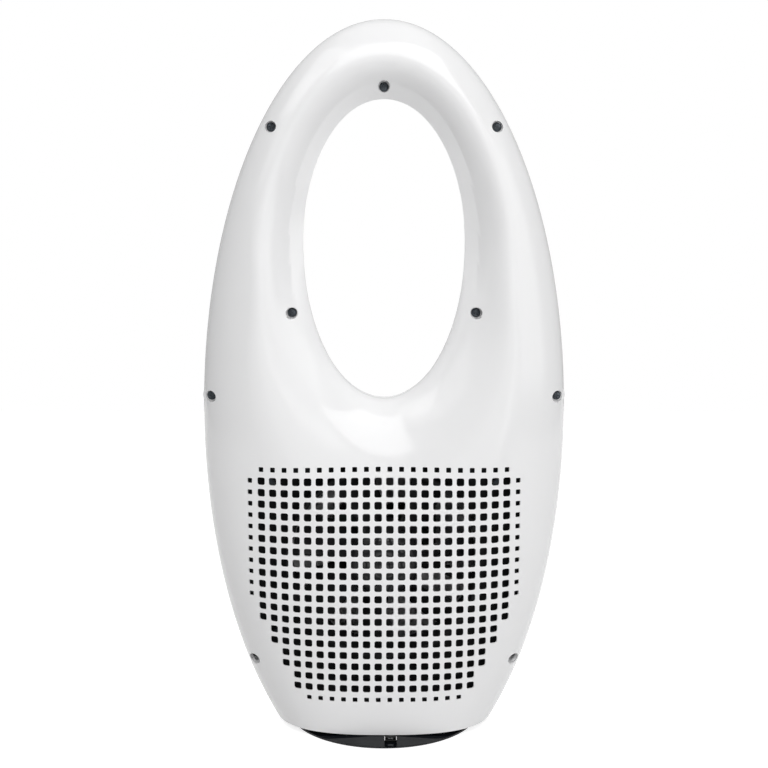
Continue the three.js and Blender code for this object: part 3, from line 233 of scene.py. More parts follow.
def cuboid(low, high):
    """A box between two corners."""
    mesh = bmesh.new()
    bmesh.ops.create_cube(mesh, size=1)
    size = [top - bottom for bottom, top in zip(low, high)]
    bmesh.ops.scale(mesh, verts=mesh.verts, vec=size)
    middle = [(top + bottom) / 2 for bottom, top in zip(low, high)]
    bmesh.ops.translate(mesh, verts=mesh.verts, vec=middle)
    return mesh


inlet = cuboid(inlet_low, inlet_high)
long_edges = [e for e in inlet.edges if abs(e.verts[0].co.y - e.verts[1].co.y) > same_place]
bmesh.ops.bevel(inlet, geom=long_edges, offset=inlet_corner, segments=5, profile=0.5,
                affect="EDGES", material=-1)
mouth = min(inlet.faces, key=lambda face: face.calc_center_median().y)
bmesh.ops.inset_region(inlet, faces=[mouth], thickness=inlet_wall)
mouth_edges = list(mouth.edges)
bmesh.ops.delete(inlet, geom=[mouth], context="FACES_ONLY")
deep = bmesh.ops.extrude_edge_only(inlet, edges=mouth_edges)["geom"]
deep_verts = [part for part in deep if isinstance(part, bmesh.types.BMVert)]
deep_edges = [part for part in deep if isinstance(part, bmesh.types.BMEdge)]
inlet_depth = inlet_high[1] - inlet_low[1] - inlet_floor
bmesh.ops.translate(inlet, verts=deep_verts, vec=(0, inlet_depth, 0))
bmesh.ops.edgeloop_fill(inlet, edges=deep_edges)
bmesh.ops.recalc_face_normals(inlet, faces=inlet.faces)
new_piece(inlet, "inlet_socket", "foot", inlet_black, ["power_inlet"])
tongue_setback = 0.001
tongue_inset = 0.0017
tongue_rise = 0.00095
tongue_rounding = 0.0001
tongue_low = (inlet_low[0] + tongue_inset, inlet_low[1] + tongue_setback, inlet_low[2] + tongue_rise)
tongue_high = (inlet_high[0] - tongue_inset, inlet_high[1] - inlet_floor, inlet_high[2] - tongue_rise)
tongue = new_piece(cuboid(tongue_low, tongue_high), "inlet_tongue", "foot", nickel, [])
rounded(tongue, tongue_rounding)


# Foot cover: a high-gloss bluish charcoal moulding. A flat brim slopes down to a low upright edge, and a
# crown in the middle carries the casing. It is spun, and the inlet's notch is cut through its rear edge.
foot_gloss = new_material("foot gloss", (0.005, 0.006, 0.008), (0.06, 0.11), grain_scale=300, grain=0.01)
foot_gloss.node_tree.nodes["Principled BSDF"].inputs["Specular IOR Level"].default_value = 0.3
foot_radius = 0.06
foot_bottom = 0.0005
edge_height = 0.0016
brim_radius = 0.0506
brim_height = 0.0039
crown_radius = 0.0446
crown_height = 0.0074
crown_slope = 0.0003
foot_wall = 0.0018
plate_room = 0.0493
plate_ceiling = 0.0025
spindle_hole = 0.0093
foot_rounding = 0.00012
foot_sides = 192
foot = spun([
    (foot_radius, foot_bottom),
    (foot_radius, edge_height),
    (brim_radius, brim_height),
    (crown_radius + crown_slope, brim_height),
    (crown_radius, crown_height),
    (spindle_hole, crown_height),
    (spindle_hole, crown_height - foot_wall),
    (crown_radius - foot_wall, crown_height - foot_wall),
    (crown_radius - foot_wall, plate_ceiling),
    (plate_room, plate_ceiling),
    (plate_room, foot_bottom),
], foot_sides)
notch_gap = 0.0003
notch_left = inlet_low[0] - notch_gap
notch_right = inlet_high[0] + notch_gap
notch_floor = inlet_low[2] - notch_gap
notch_back = -crown_radius - crown_slope
notch_zone_back = -0.03
notch_zone_half_width = 0.02


def split(mesh, at, facing, near):
    """Cuts the faces that a test picks along a plane, and keeps both sides."""
    faces = [face for face in mesh.faces if near(face.calc_center_median())]
    edges = {edge for face in faces for edge in face.edges}
    verts = {vert for face in faces for vert in face.verts}
    bmesh.ops.bisect_plane(mesh, geom=[*verts, *edges, *faces], plane_co=at, plane_no=facing, dist=1e-7)


def near_notch(place):
    """Whether a face is near enough to the notch to be cut."""
    return place.y < notch_zone_back and abs(place.x) < notch_zone_half_width


def in_notch(place):
    """Whether a face lies inside the notch."""
    return notch_left < place.x < notch_right and place.y < notch_back and place.z > notch_floor


split(foot, (notch_left, 0, 0), (1, 0, 0), near_notch)
split(foot, (notch_right, 0, 0), (1, 0, 0), near_notch)
split(foot, (0, 0, notch_floor), (0, 0, 1), near_notch)
split(foot, (0, notch_back, 0), (0, 1, 0), near_notch)
gone = [face for face in foot.faces if in_notch(face.calc_center_median())]
bmesh.ops.delete(foot, geom=gone, context="FACES")


def is_at(vert, axis, value):
    """Whether a vertex lies on the plane across an axis (0, 1 or 2) at a value."""
    return abs(vert.co[axis] - value) < same_place


def rim_vert(x, axis, value):
    """The vertex of the notch's open rim on one side of the notch and on another plane."""
    for vert in foot.verts:
        if vert.is_boundary and is_at(vert, 0, x) and is_at(vert, axis, value):
            return vert
    return None


def rim_on(axis, value):
    """The open rim's edges on a plane."""
    return [e for e in foot.edges if e.is_boundary and all(is_at(v, axis, value) for v in e.verts)]


left_wall = rim_on(0, notch_left)
right_wall = rim_on(0, notch_right)
back_wall = rim_on(1, notch_back)
floor_plane = rim_on(2, notch_floor)
low_left = foot.verts.new((notch_left, notch_back, notch_floor))
low_right = foot.verts.new((notch_right, notch_back, notch_floor))
left_corner = foot.edges.new((rim_vert(notch_left, 1, notch_back), low_left))
right_corner = foot.edges.new((rim_vert(notch_right, 1, notch_back), low_right))
left_line = foot.edges.new((rim_vert(notch_left, 2, notch_floor), low_left))
right_line = foot.edges.new((rim_vert(notch_right, 2, notch_floor), low_right))
back_line = foot.edges.new((low_left, low_right))
left_wall += [left_corner, left_line]
right_wall += [right_corner, right_line]
back_wall += [left_corner, right_corner, back_line]
floor_plane += [left_line, right_line, back_line]
for wall_edges in (left_wall, right_wall, back_wall, floor_plane):
    bmesh.ops.edgeloop_fill(foot, edges=wall_edges)
bmesh.ops.recalc_face_normals(foot, faces=foot.faces)
foot = new_piece(foot, "foot_shell", "foot", foot_gloss, ["foot_cover"])
rounded(foot, foot_rounding)


# Swivel: a steel spindle and a fixed gear on the foot, a washer that slides, and a clip on top. The gears
# are natural acetal. The little motor in the casing turns the pinion. All of it is hidden.
acetal = new_material("acetal", (0.8, 0.78, 0.72), (0.35, 0.5), grain_scale=500, grain=0.05)
paint(["swivel_spindle", "spindle_clip", "swivel_motor"], plain_steel)
paint(["fixed_gear", "thrust_washer", "oscillation_pinion"], acetal)
paint(["swivel_motor_screw_1", "swivel_motor_screw_2"], dark_steel)


# Base plate: black moulded plastic under the casing, which turns on the foot. Four screws hold it up into
# the covers' posts. It stays as the CAD made it.
paint(["base_plate"], black_plastic)
paint(["base_screw_rear_left", "base_screw_rear_right"], dark_steel)
paint(["base_screw_front_left", "base_screw_front_right"], dark_steel)


# Fan housing and motor bracket: black moulded plastic. The housing's duct and divider are what shows through
# the grille, and their black is made deep and without shine as painted shade of the casing's dark inside.
# Black plastic deepened as painted shade of the inside seen through the grille.
housing_black_painted_shade = new_material("housing black and painted shade", (0.006, 0.006, 0.007), (0.7, 0.85), grain_scale=900, grain=0.2)
paint(["fan_housing", "motor_bracket"], housing_black_painted_shade)
paint(["bracket_screw_1", "bracket_screw_2", "bracket_screw_3"], dark_steel)
paint(["housing_screw_high_left", "housing_screw_high_right"], dark_steel)
paint(["housing_screw_low_left", "housing_screw_low_right"], dark_steel)


# Motor: a copper-wound stator on its board, two ball bearings, and a can with a ferrite ring that turns
# with the impeller. It is out of sight inside the hub.
copper = new_material("winding copper", (0.62, 0.25, 0.1), (0.3, 0.45), grain_scale=900, grain=0.5,
                      metallic=0.8)
board_green = new_material("circuit board", (0.008, 0.03, 0.016), (0.35, 0.5), grain_scale=500, grain=0.1)
ferrite = new_material("ferrite", (0.05, 0.05, 0.055), (0.6, 0.75), grain_scale=900, grain=0.3)
paint(["motor_stator"], copper)
paint(["motor_board", "control_board"], board_green)
paint(["bearing_front", "bearing_rear", "motor_shaft", "rotor_can"], plain_steel)
paint(["rotor_magnet"], ferrite)


# Impeller: one moulding of translucent smoke-grey plastic, a hub with a rounded nose and seven curved,
# swept blades. Its colour is darkened nearly to black as painted shade of the casing's dark inside, so
# that only glints show. It sticks on the motor's can, and a cap closes its nose.
# Smoke grey darkened nearly to black: painted shade of the inside of the casing.
smoke_grey_and_painted_shade = new_material("smoke grey and painted shade", (0.035, 0.036, 0.038), (0.08, 0.14), grain_scale=300, grain=0.02)
fan_height = 0.107
hub_radius = 0.023
hub_front = 0.009
hub_back = 0.0235
nose_radius = 0.0075
nose_back = 0.0375
hub_wall = 0.002
hub_inner_back = 0.0215
shaft_room = 0.0018
nose_fullness = 0.8
nose_steps = 10
impeller_sides = 96
impeller_profile = [(hub_radius, hub_front), (hub_radius, hub_back)]
for step in range(1, nose_steps + 1):
    along = step / nose_steps
    swell = math.cos(along * math.pi / 2) ** nose_fullness
    impeller_profile.append((
        nose_radius + (hub_radius - nose_radius) * swell,
        hub_back + (nose_back - hub_back) * math.sin(along * math.pi / 2),
    ))
impeller_profile += [
    (shaft_room, nose_back),
    (shaft_room, hub_inner_back),
    (hub_radius - hub_wall, hub_inner_back),
    (hub_radius - hub_wall, hub_front),
]
impeller = spun(impeller_profile, impeller_sides, (0, 0, fan_height), lying=True)
blade_count = 7
blade_root = 0.0218
blade_tip = 0.0564
blade_front = 0.0095
blade_depth = 0.021
blade_twist = 34
blade_untwist = 0.35
blade_sweep = 10
blade_narrowing = 0.12
blade_thickness = 0.0015
cells_out = 18
cells_along = 14
for number in range(blade_count):
    flat = bmesh.ops.create_grid(impeller, x_segments=cells_out, y_segments=cells_along, size=1)["verts"]
    for vert in flat:
        out = (vert.co.x + 1) / 2
        share = (vert.co.y + 1) / 2
        radius = blade_root + (blade_tip - blade_root) * out
        depth = blade_front + blade_depth * share * (1 - blade_narrowing * out)
        twist = blade_twist * (1 - blade_untwist * out)
        lean = math.radians(twist * (share - 0.5) + blade_sweep * out + 360 * number / blade_count)
        vert.co = (radius * math.cos(lean), -depth, fan_height + radius * math.sin(lean))
    faces = list({face for vert in flat for face in vert.link_faces})
    bmesh.ops.recalc_face_normals(impeller, faces=faces)
    bmesh.ops.solidify(impeller, geom=faces, thickness=blade_thickness)
bmesh.ops.recalc_face_normals(impeller, faces=impeller.faces)
new_piece(impeller, "impeller_moulding", "rotor", smoke_grey_and_painted_shade, ["impeller"])

# The nose cap shares the impeller's darkened smoke grey with its painted shade.
cap_from = 0.0378
cap = spun([
    (0, cap_from), (0.007, cap_from), (0.0068, cap_from + 0.001), (0.0056, cap_from + 0.0019),
    (0.003, cap_from + 0.0025), (0, cap_from + 0.0026),
], small_sides, (0, 0, fan_height), lying=True)
new_piece(cap, "impeller_nose_cap", "rotor", smoke_grey_and_painted_shade, ["impeller_cap"])


# Rear cover with its grille: one high-gloss white moulding, 2.2 mm thick, with square holes in stepped
# rows and nine screw recesses. It is drawn flat, lifted to the casing's surface and given its thickness.
white_gloss = new_material("white gloss", (0.9, 0.9, 0.905), (0.08, 0.13), blotch_scale=12, grain_scale=150,
                           grain=0.004)
half_width = 0.1117
mid_height = 0.1936
rise = 0.2399
drop = 0.239
rim_height = 0.0044
waist_depth = 0.0516
waist_height = 0.089
rim_tuck = 0.0026
head_taper = 0.33
crown_power = 8
bulge_power = 2.6
loop_height = 0.3
loop_half_width = 0.0491
loop_rise = 0.0862
loop_drop = 0.0942
loop_widening = 0.004
lip_depth = 0.01
loop_ring = 0.0082
loop_ring_slope = 0.7
loop_roll = 0.03
loop_roll_below = 0.102
cover_wall = 0.0022
half_seam = 0.00015


def outline_half_width(height):
    """Half the casing's width at a height."""
    reach = rise if height > mid_height else drop
    return half_width * math.sqrt(max(0, 1 - ((height - mid_height) / reach) ** 2))


def spine_depth(height):
    """How far the casing would bulge on its middle plane if it had no loop."""
    if height < waist_height:
        return waist_depth - rim_tuck * ((waist_height - height) / waist_height) ** 2
    up = min(1, (height - waist_height) / (mid_height + rise - waist_height))
    return waist_depth * (1 - head_taper * up) * math.sqrt(1 - up ** crown_power)


def loop_ratio(x, height, side):
    """How many times farther out than the loop's edge a place is. The mouth is wider at the front."""
    widening = loop_widening if side > 0 else 0
    reach = loop_rise if height > loop_height else loop_drop
    return math.hypot(x / (loop_half_width + widening), (height - loop_height) / (reach + widening))


def rise_share(rise_here, out, roll, below):
    """How much of its rise the face has made: ring, crease and swell beside the loop, a round below."""
    ring = min(1, loop_ring * loop_ring_slope / max(rise_here, 1e-9))
    beyond_ring = max(0, out - loop_ring) / (roll - loop_ring)
    stepped = ring * min(1, out / loop_ring) + (1 - ring) * math.sin(beyond_ring * math.pi / 2)
    round_share = math.sqrt(max(0, 1 - (1 - out / roll) ** 2))
    return stepped + (round_share - stepped) * below ** 2


def depth_at(x, height, side):
    """How far the casing's face is from the middle plane, at the rear (-1) or the front (1)."""
    half = outline_half_width(height)
    ratio = loop_ratio(x, height, side)
    if half < 1e-9 or ratio < 1e-4:
        return 0
    full = spine_depth(height) * max(0, 1 - (abs(x) / half) ** bulge_power) ** (1 / bulge_power)
    away = math.hypot(x, height - loop_height)
    out = max(0, away * (1 - 1 / ratio))
    below = max(0, (loop_height - height) / away)
    roll = loop_roll + (loop_roll_below - loop_roll) * below ** 3
    if out >= roll:
        return full
    lip = min(lip_depth, full)
    return lip + (full - lip) * rise_share(full - lip, out, roll, below)


on_edge = 2e-7
on_loop = 1e-5
probe = 2e-5


def face_normal(x, height, side):
    """The outward normal of the casing's face. On its edges it is the normal of the outline or loop."""
    half = outline_half_width(height)
    edge = (x / half_width ** 2, (height - mid_height) / (rise if height > mid_height else drop) ** 2)
    if half < same_place or abs(x) > half - on_edge:
        return Vector((edge[0], 0, edge[1])).normalized()
    ratio = loop_ratio(x, height, side)
    if ratio < 1 + on_loop:
        reach = loop_rise if height > loop_height else loop_drop
        return Vector((-x / loop_half_width ** 2, 0, (loop_height - height) / reach ** 2)).normalized()
    step = min(probe, (half - abs(x)) / 4, (ratio - 1) * loop_half_width / 4)
    across = (depth_at(x + step, height, side) - depth_at(x - step, height, side)) / (2 * step)
    along = (depth_at(x, height + step, side) - depth_at(x, height - step, side)) / (2 * step)
    return Vector((-across, side, -along)).normalized()


around = 240
around_rim = 27
radial = 44
rim_turn = math.asin(outline_half_width(rim_height) / half_width)


def draw_sheet(mesh, side):
    """The casing's face as a flat sheet in x and z, between its outline and the loop."""
    widening = loop_widening if side > 0 else 0
    rim_half_width = outline_half_width(rim_height)
    bmesh.ops.create_grid(mesh, x_segments=around, y_segments=radial, size=1)
    for vert in mesh.verts:
        index = vert.co.x * around / 2
        share = (1 - math.cos(math.pi * (vert.co.y + 1) / 2)) / 2
        if abs(index) <= around_rim:
            turn = rim_turn * index / around_rim
            start = Vector((rim_half_width * math.sin(index / around_rim * math.pi / 2), 0, rim_height))
        else:
            beyond = (abs(index) - around_rim) / (around / 2 - around_rim)
            turn = math.copysign(rim_turn + (math.pi - rim_turn) * beyond, index)
            reach = drop if math.cos(turn) > 0 else rise
            start = Vector((half_width * math.sin(turn), 0, mid_height - reach * math.cos(turn)))
        loop_reach = (loop_drop if math.cos(turn) > 0 else loop_rise) + widening
        loop_x = (loop_half_width + widening) * math.sin(turn)
        end = Vector((loop_x, 0, loop_height - loop_reach * math.cos(turn)))
        vert.co = start.lerp(end, share)
    bmesh.ops.remove_doubles(mesh, verts=mesh.verts, dist=1e-7)


def clear_near(mesh, distance_to, room):
    """Deletes the sheet's faces that come closer than the room to what will be drawn there."""
    near = []
    for face in mesh.faces:
        corners = [vert.co for vert in face.verts]
        middles = [(a + b) / 2 for a, b in zip(corners, corners[1:] + corners[:1])]
        if min(distance_to(place) for place in [*corners, *middles, face.calc_center_median()]) < room:
            near.append(face)
    bmesh.ops.delete(mesh, geom=near, context="FACES")


def fill_band(mesh, distance_to, reach):
    """Fills the open band round what was drawn, between it and the sheet's cut edge."""
    rim = [edge for edge in mesh.edges if edge.is_boundary
           and max(distance_to(vert.co) for vert in edge.verts) < reach]
    bmesh.ops.triangle_fill(mesh, edges=rim, use_beauty=True)


hole_pitch = 0.007
big_hole = 0.0045
small_hole = 0.0029
grille_wall = 0.0009
lowest_row = 0.027
widest_row = 24
row_holes = [14, 16, 16, 18, 18, 20, 20, 22, 22] + [widest_row] * 11 + [22]


def distance_to_grille(place):
    """Distance of a flat place from the stepped field of hole cells."""
    best = 1.0
    for row, count in enumerate(row_holes):
        beside = abs(place.x) - count * hole_pitch / 2
        above = abs(place.z - lowest_row - row * hole_pitch) - hole_pitch / 2
        best = min(best, math.hypot(max(0, beside), max(0, above)))
    return best


upright = Matrix.Rotation(math.pi / 2, 4, "X")
square_hole = 0.0018
hole_corner = 0.4
edge_round = 0.00016


def draw_cell(mesh, hole):
    """One square cell of the grille at the origin: its rounded hole, the hole's soft edge and a border.

    The face that closes the hole is marked with material index 1, to be deleted later.
    """
    middle = bmesh.ops.create_grid(mesh, x_segments=1, y_segments=1, size=hole / 2, matrix=upright)["verts"]
    corner = (hole - square_hole) * hole_corner
    bmesh.ops.bevel(mesh, geom=middle, offset=corner, segments=3, profile=0.5, affect="VERTICES", material=-1)
    opening = mesh.faces[:][0]
    bmesh.ops.inset_region(mesh, faces=[opening], thickness=edge_round, use_even_offset=True)
    opening.material_index = 1
    half = hole_pitch / 2
    border = bmesh.ops.create_grid(mesh, x_segments=1, y_segments=1, size=half, matrix=upright)["verts"]
    outer = border[0].link_faces[0]
    outer_edges = list(outer.edges)
    bmesh.ops.delete(mesh, geom=[outer], context="FACES_ONLY")
    bmesh.ops.subdivide_edges(mesh, edges=outer_edges, cuts=1)
    rim = [edge for edge in mesh.edges if edge.is_boundary or edge.is_wire]
    bmesh.ops.triangle_fill(mesh, edges=rim, use_beauty=True)


def cell_pattern(hole):
    """The cell as a mesh of its own, to be repeated."""
    mesh = bmesh.new()
    draw_cell(mesh, hole)
    data = bpy.data.meshes.new("cell")
    mesh.to_mesh(data)
    mesh.free()
    return data


def draw_grille(mesh):
    """All cells of the grille, added to the sheet."""
    big_cell = cell_pattern(big_hole)
    small_cell = cell_pattern(small_hole)
    field = bmesh.new()
    for row, count in enumerate(row_holes):
        all_small = row in (0, len(row_holes) - 1)
        for place in range(count):
            end = count == widest_row and place in (0, count - 1)
            before = len(field.verts)
            field.from_mesh(small_cell if all_small or end else big_cell)
            field.verts.ensure_lookup_table()
            x = (place - (count - 1) / 2) * hole_pitch
            height = lowest_row + row * hole_pitch
            bmesh.ops.translate(field, verts=field.verts[before:], vec=(x, 0, height))
    bmesh.ops.remove_doubles(field, verts=field.verts, dist=same_place)
    drawing = bpy.data.meshes.new("grille drawing")
    field.to_mesh(drawing)
    field.free()
    mesh.from_mesh(drawing)
    for data in (big_cell, small_cell, drawing):
        bpy.data.meshes.remove(data)


screw_names = ["top", "shoulder_left", "shoulder_right", "inner_left", "inner_right",
               "hip_left", "hip_right", "low_left", "low_right"]
screw_head_height = 0.002
recess_radius = 0.0035
screw_places = {}
for screw_name in screw_names:
    low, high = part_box(f"cover_screw_{screw_name}")
    seat = low[1] + screw_head_height
    screw_places[screw_name] = Vector(((low[0] + high[0]) / 2, seat, (low[2] + high[2]) / 2))


def lift(mesh, side, sunk=()):
    """Moves the flat drawing out to the casing's face. The sunk vertices stop just below it."""
    low = set(sunk)
    for vert in mesh.verts:
        place = vert.co.copy()
        face_depth = depth_at(place.x, place.z, side) + half_seam
        if vert in low:
            inward = face_normal(place.x, place.z, side) * edge_round
            face_depth -= side * inward.y
        vert.co.y = side * face_depth


face_tolerance = 4e-6


def on_face(place, side):
    """Whether a place lies on the casing's face."""
    return abs(side * place.y - depth_at(place.x, place.z, side) - half_seam) < face_tolerance


grille_margin = 0.001
ring_tolerance = 1e-5


def inward_step(vert, side, recesses):
    """How a place of the skin moves to reach the inner side of the wall."""
    place = vert.co
    thickness = grille_wall if side < 0 and distance_to_grille(place) < grille_margin else cover_wall
    step = -thickness * (face_normal(place.x, place.z, side) if on_face(place, side) else vert.normal)
    for centre in recesses:
        away = Vector((place.x - centre.x, 0, place.z - centre.z))
        if away.length < recess_radius + ring_tolerance:
            radially = away.normalized() * cover_wall
            step = radially + (step if on_face(place, side) else Vector((0, -side * cover_wall, 0)))
    if abs(place.z - rim_height) < same_place:
        step.z = 0
    return step


def give_thickness(mesh, side, recesses=()):
    """Turns the skin into a wall that goes inwards."""
    bmesh.ops.recalc_face_normals(mesh, faces=mesh.faces)
    mesh.normal_update()
    skin = list(mesh.faces)
    made = bmesh.ops.extrude_face_region(mesh, geom=skin, use_keep_orig=True)["geom"]
    inner = [part for part in made if isinstance(part, bmesh.types.BMVert)]
    steps = [inward_step(vert, side, recesses) for vert in inner]
    for vert, step in zip(inner, steps):
        vert.co += step
    bmesh.ops.recalc_face_normals(mesh, faces=mesh.faces)


facing_along = 0.6


def shade_by_surface(piece, side):
    """Corners on the casing's face take the surface's own normal, and all others the usual one."""
    data = piece.data
    lying = [on_face(vert.co, side) for vert in data.vertices]
    exact = []
    for vert, is_on in zip(data.vertices, lying):
        exact.append(face_normal(vert.co.x, vert.co.z, side) if is_on else None)
    normals = []
    usual = Vector((0, 0, 0))
    for polygon in data.polygons:
        for index in polygon.vertices:
            normal = exact[index]
            normals.append(normal if normal and normal.dot(polygon.normal) > facing_along else usual)
    data.normals_split_custom_set(normals)


def distance_to_screw(centre):
    """A function that gives a place's distance from a screw's axis."""
    return lambda place: math.hypot(place.x - centre.x, place.z - centre.z)


grille_room = 0.002
grille_reach = 0.02
recess_room = 0.0042
recess_reach = 0.014
recess_sides = 32
rear = bmesh.new()
draw_sheet(rear, -1)
clear_near(rear, distance_to_grille, grille_room)
for place in screw_places.values():
    clear_near(rear, distance_to_screw(place), recess_room)
draw_grille(rear)
fill_band(rear, distance_to_grille, grille_reach)
for place in screw_places.values():
    away = distance_to_screw(place)
    centre = Matrix.Translation((place.x, 0, place.z)) @ upright
    bmesh.ops.create_circle(rear, cap_ends=False, segments=recess_sides, radius=recess_radius, matrix=centre)
    rim = [e for e in rear.edges if (e.is_boundary or e.is_wire)
           and max(away(v.co) for v in e.verts) < recess_reach
           and not all(abs(abs(v.co.x) - outline_half_width(v.co.z)) < same_place for v in e.verts)
           and not all(abs(loop_ratio(v.co.x, v.co.z, -1) - 1) < on_loop for v in e.verts)]
    bmesh.ops.triangle_fill(rear, edges=rim, use_beauty=True)
openings = [face for face in rear.faces if face.material_index == 1]
hole_rims = [vert for face in openings for vert in face.verts]
bmesh.ops.delete(rear, geom=openings, context="FACES_ONLY")
lift(rear, -1, hole_rims)
for place in screw_places.values():
    away = distance_to_screw(place)
    rim = [e for e in rear.edges if e.is_boundary
           and all(abs(away(v.co) - recess_radius) < ring_tolerance for v in e.verts)]
    deep = bmesh.ops.extrude_edge_only(rear, edges=rim)["geom"]
    for part in deep:
        if isinstance(part, bmesh.types.BMVert):
            part.co.y = place.y
    bmesh.ops.edgeloop_fill(rear, edges=[part for part in deep if isinstance(part, bmesh.types.BMEdge)])
give_thickness(rear, -1, list(screw_places.values()))
rear_shell = new_piece(rear, "rear_shell", "casing", white_gloss,
                       ["rear_cover", "intake_grille"])
shade_by_surface(rear_shell, -1)


# Front cover: the same white moulding on the other side. It carries the loop's inner wall, which flares out
# behind the rear cover's lip and leaves the slit that the air leaves by, and a window for the controls.
panel_height = 0.112
panel_half_width = 0.033
panel_half_height = 0.012
window_spare = 0.0003
window_half_width = panel_half_width + window_spare
window_half_height = panel_half_height + window_spare


def distance_to_window(place):
    """Distance of a flat place from the window for the control panel."""
    beside = max(0, abs(place.x) - (panel_half_width - panel_half_height))
    return max(0, math.hypot(beside, place.z - panel_height) - window_half_height)


window_room = 0.0012
window_reach = 0.016
window_corner_steps = 16
window_side_cuts = 17
shortest_side = 0.03
front = bmesh.new()
draw_sheet(front, 1)
clear_near(front, distance_to_window, window_room)
window = bmesh.ops.create_grid(front, x_segments=1, y_segments=1, size=1, matrix=upright)["verts"]
for vert in window:
    vert.co.x = math.copysign(window_half_width, vert.co.x)
    vert.co.z = panel_height + math.copysign(window_half_height, vert.co.z)
window_face = window[0].link_faces[0]
window_face.material_index = 1
window_corner = window_half_height - 1e-5
bmesh.ops.bevel(front, geom=window, offset=window_corner, segments=window_corner_steps, profile=0.5,
                affect="VERTICES", material=-1)
long_sides = [e for e in front.edges if e.is_boundary and e.calc_length() > shortest_side
              and abs(e.verts[0].co.z - e.verts[1].co.z) < same_place]
bmesh.ops.subdivide_edges(front, edges=long_sides, cuts=window_side_cuts)
fill_band(front, distance_to_window, window_reach)
openings = [face for face in front.faces if face.material_index == 1]
bmesh.ops.delete(front, geom=openings, context="FACES_ONLY")
lift(front, 1)
slit_front = -0.00715
flare_out = 0.0025
flare_length = 0.0011
flare_overlap = 0.0002
flare_steps = 5
wall_curve = 1.6
wall_rows = 6
near_loop = 1e-4


def loop_place(place, out, depth):
    """A place on the loop's edge, moved outwards and to a depth."""
    away = Vector((place.x, 0, place.z - loop_height))
    moved = away.normalized() * (away.length + out)
    return Vector((moved.x, depth, moved.z + loop_height))


loop_edge = [e for e in front.edges if e.is_boundary
             and all(abs(loop_ratio(v.co.x, v.co.z, 1) - 1) < near_loop for v in e.verts)]
wall_start = lip_depth + half_seam
rows = []
for step in range(1, wall_rows + 1):
    along = step / wall_rows
    out = -loop_widening * (1 - (1 - along) ** wall_curve)
    rows.append((out, wall_start + (slit_front - wall_start) * along))
for step in range(1, flare_steps + 1):
    bend = step / flare_steps * math.pi / 2
    out = flare_out * (1 - math.cos(bend)) - loop_widening
    rows.append((out, slit_front - flare_length * math.sin(bend)))
rows.append((flare_out - loop_widening, slit_front - flare_length - flare_overlap))
edge_now = loop_edge
last_out = 0
for out, depth in rows:
    made = bmesh.ops.extrude_edge_only(front, edges=edge_now)["geom"]
    edge_now = [part for part in made if isinstance(part, bmesh.types.BMEdge)]
    for part in made:
        if isinstance(part, bmesh.types.BMVert):
            part.co = loop_place(part.co, out - last_out, depth)
    last_out = out
give_thickness(front, 1)
front_shell = new_piece(front, "front_shell", "casing", white_gloss, ["front_cover"])
shade_by_surface(front_shell, 1)


# Cover screws: nine blackened pan-head screws with cross recesses, one in each recess of the rear cover.
# They hold the two covers together. The domed head grows out of a cross drawn on its top.
cross_lines = [-0.00175, -0.0014, -0.0004, 0.0004, 0.0014, 0.00175]
cross_depth = 0.0011
cross_taper = 0.7
dome_radius = 0.0022
dome_top = 0.00185
dome_fall = 0.0005
head_sides = 40
driver_turn = 1.3
head_rings = [(0.0026, 0.00095), (0.0028, 0.0005), (0.0028, 0), (0.00125, 0), (0.00125, -0.012)]


def grow_ring(mesh, edges, radius, height):
    """Extends the open rim of a turned shape to a wider or lower ring. Returns the new rim."""
    made = bmesh.ops.extrude_edge_only(mesh, edges=edges)["geom"]
    for vert in [part for part in made if isinstance(part, bmesh.types.BMVert)]:
        outward = Vector((vert.co.x, vert.co.y, 0)).normalized() * radius
        vert.co = (outward.x, outward.y, height)
    return [part for part in made if isinstance(part, bmesh.types.BMEdge)]


def cross_head():
    """A pan-head screw with a cross recess, upright at the origin."""
    mesh = bmesh.new()
    cells = len(cross_lines) - 1
    bmesh.ops.create_grid(mesh, x_segments=cells, y_segments=cells, size=1)
    for vert in mesh.verts:
        column = round((vert.co.x + 1) * cells / 2)
        row = round((vert.co.y + 1) * cells / 2)
        vert.co = (cross_lines[column], cross_lines[row], 0)
    arm = cross_lines[3]
    reach = cross_lines[4]
    bmesh.ops.create_circle(mesh, cap_ends=False, segments=head_sides, radius=dome_radius)
    rim = [edge for edge in mesh.edges if edge.is_boundary or edge.is_wire]
    circle = [edge for edge in mesh.edges if edge.is_wire]
    bmesh.ops.triangle_fill(mesh, edges=rim, use_beauty=True)
    for vert in mesh.verts:
        vert.co.z = dome_top - dome_fall * (vert.co.xy.length / dome_radius) ** 2
    for radius, height in head_rings:
        circle = grow_ring(mesh, circle, radius, height)
    bmesh.ops.edgeloop_fill(mesh, edges=circle)
    bmesh.ops.recalc_face_normals(mesh, faces=mesh.faces)
    cross = []
    for face in mesh.faces:
        x, y, z = map(abs, face.calc_center_median())
        if len(face.verts) == 4 and z > dome_top - dome_fall and min(x, y) < arm and max(x, y) < reach:
            cross.append(face)
    floor_verts = bmesh.ops.extrude_face_region(mesh, geom=cross)["geom"]
    bmesh.ops.delete(mesh, geom=cross, context="FACES")
    for vert in [part for part in floor_verts if isinstance(part, bmesh.types.BMVert)]:
        vert.co = (vert.co.x * cross_taper, vert.co.y * cross_taper, dome_top - cross_depth)
    bmesh.ops.recalc_face_normals(mesh, faces=mesh.faces)
    return mesh


for number, (screw_name, place) in enumerate(screw_places.items()):
    screw = cross_head()
    turn = upright @ Matrix.Rotation(driver_turn * number, 4, "Z")
    bmesh.ops.transform(screw, matrix=Matrix.Translation(place) @ turn, verts=screw.verts)
    new_piece(screw, f"pan_head_{screw_name}", "casing", dark_steel,
              [f"cover_screw_{screw_name}"])


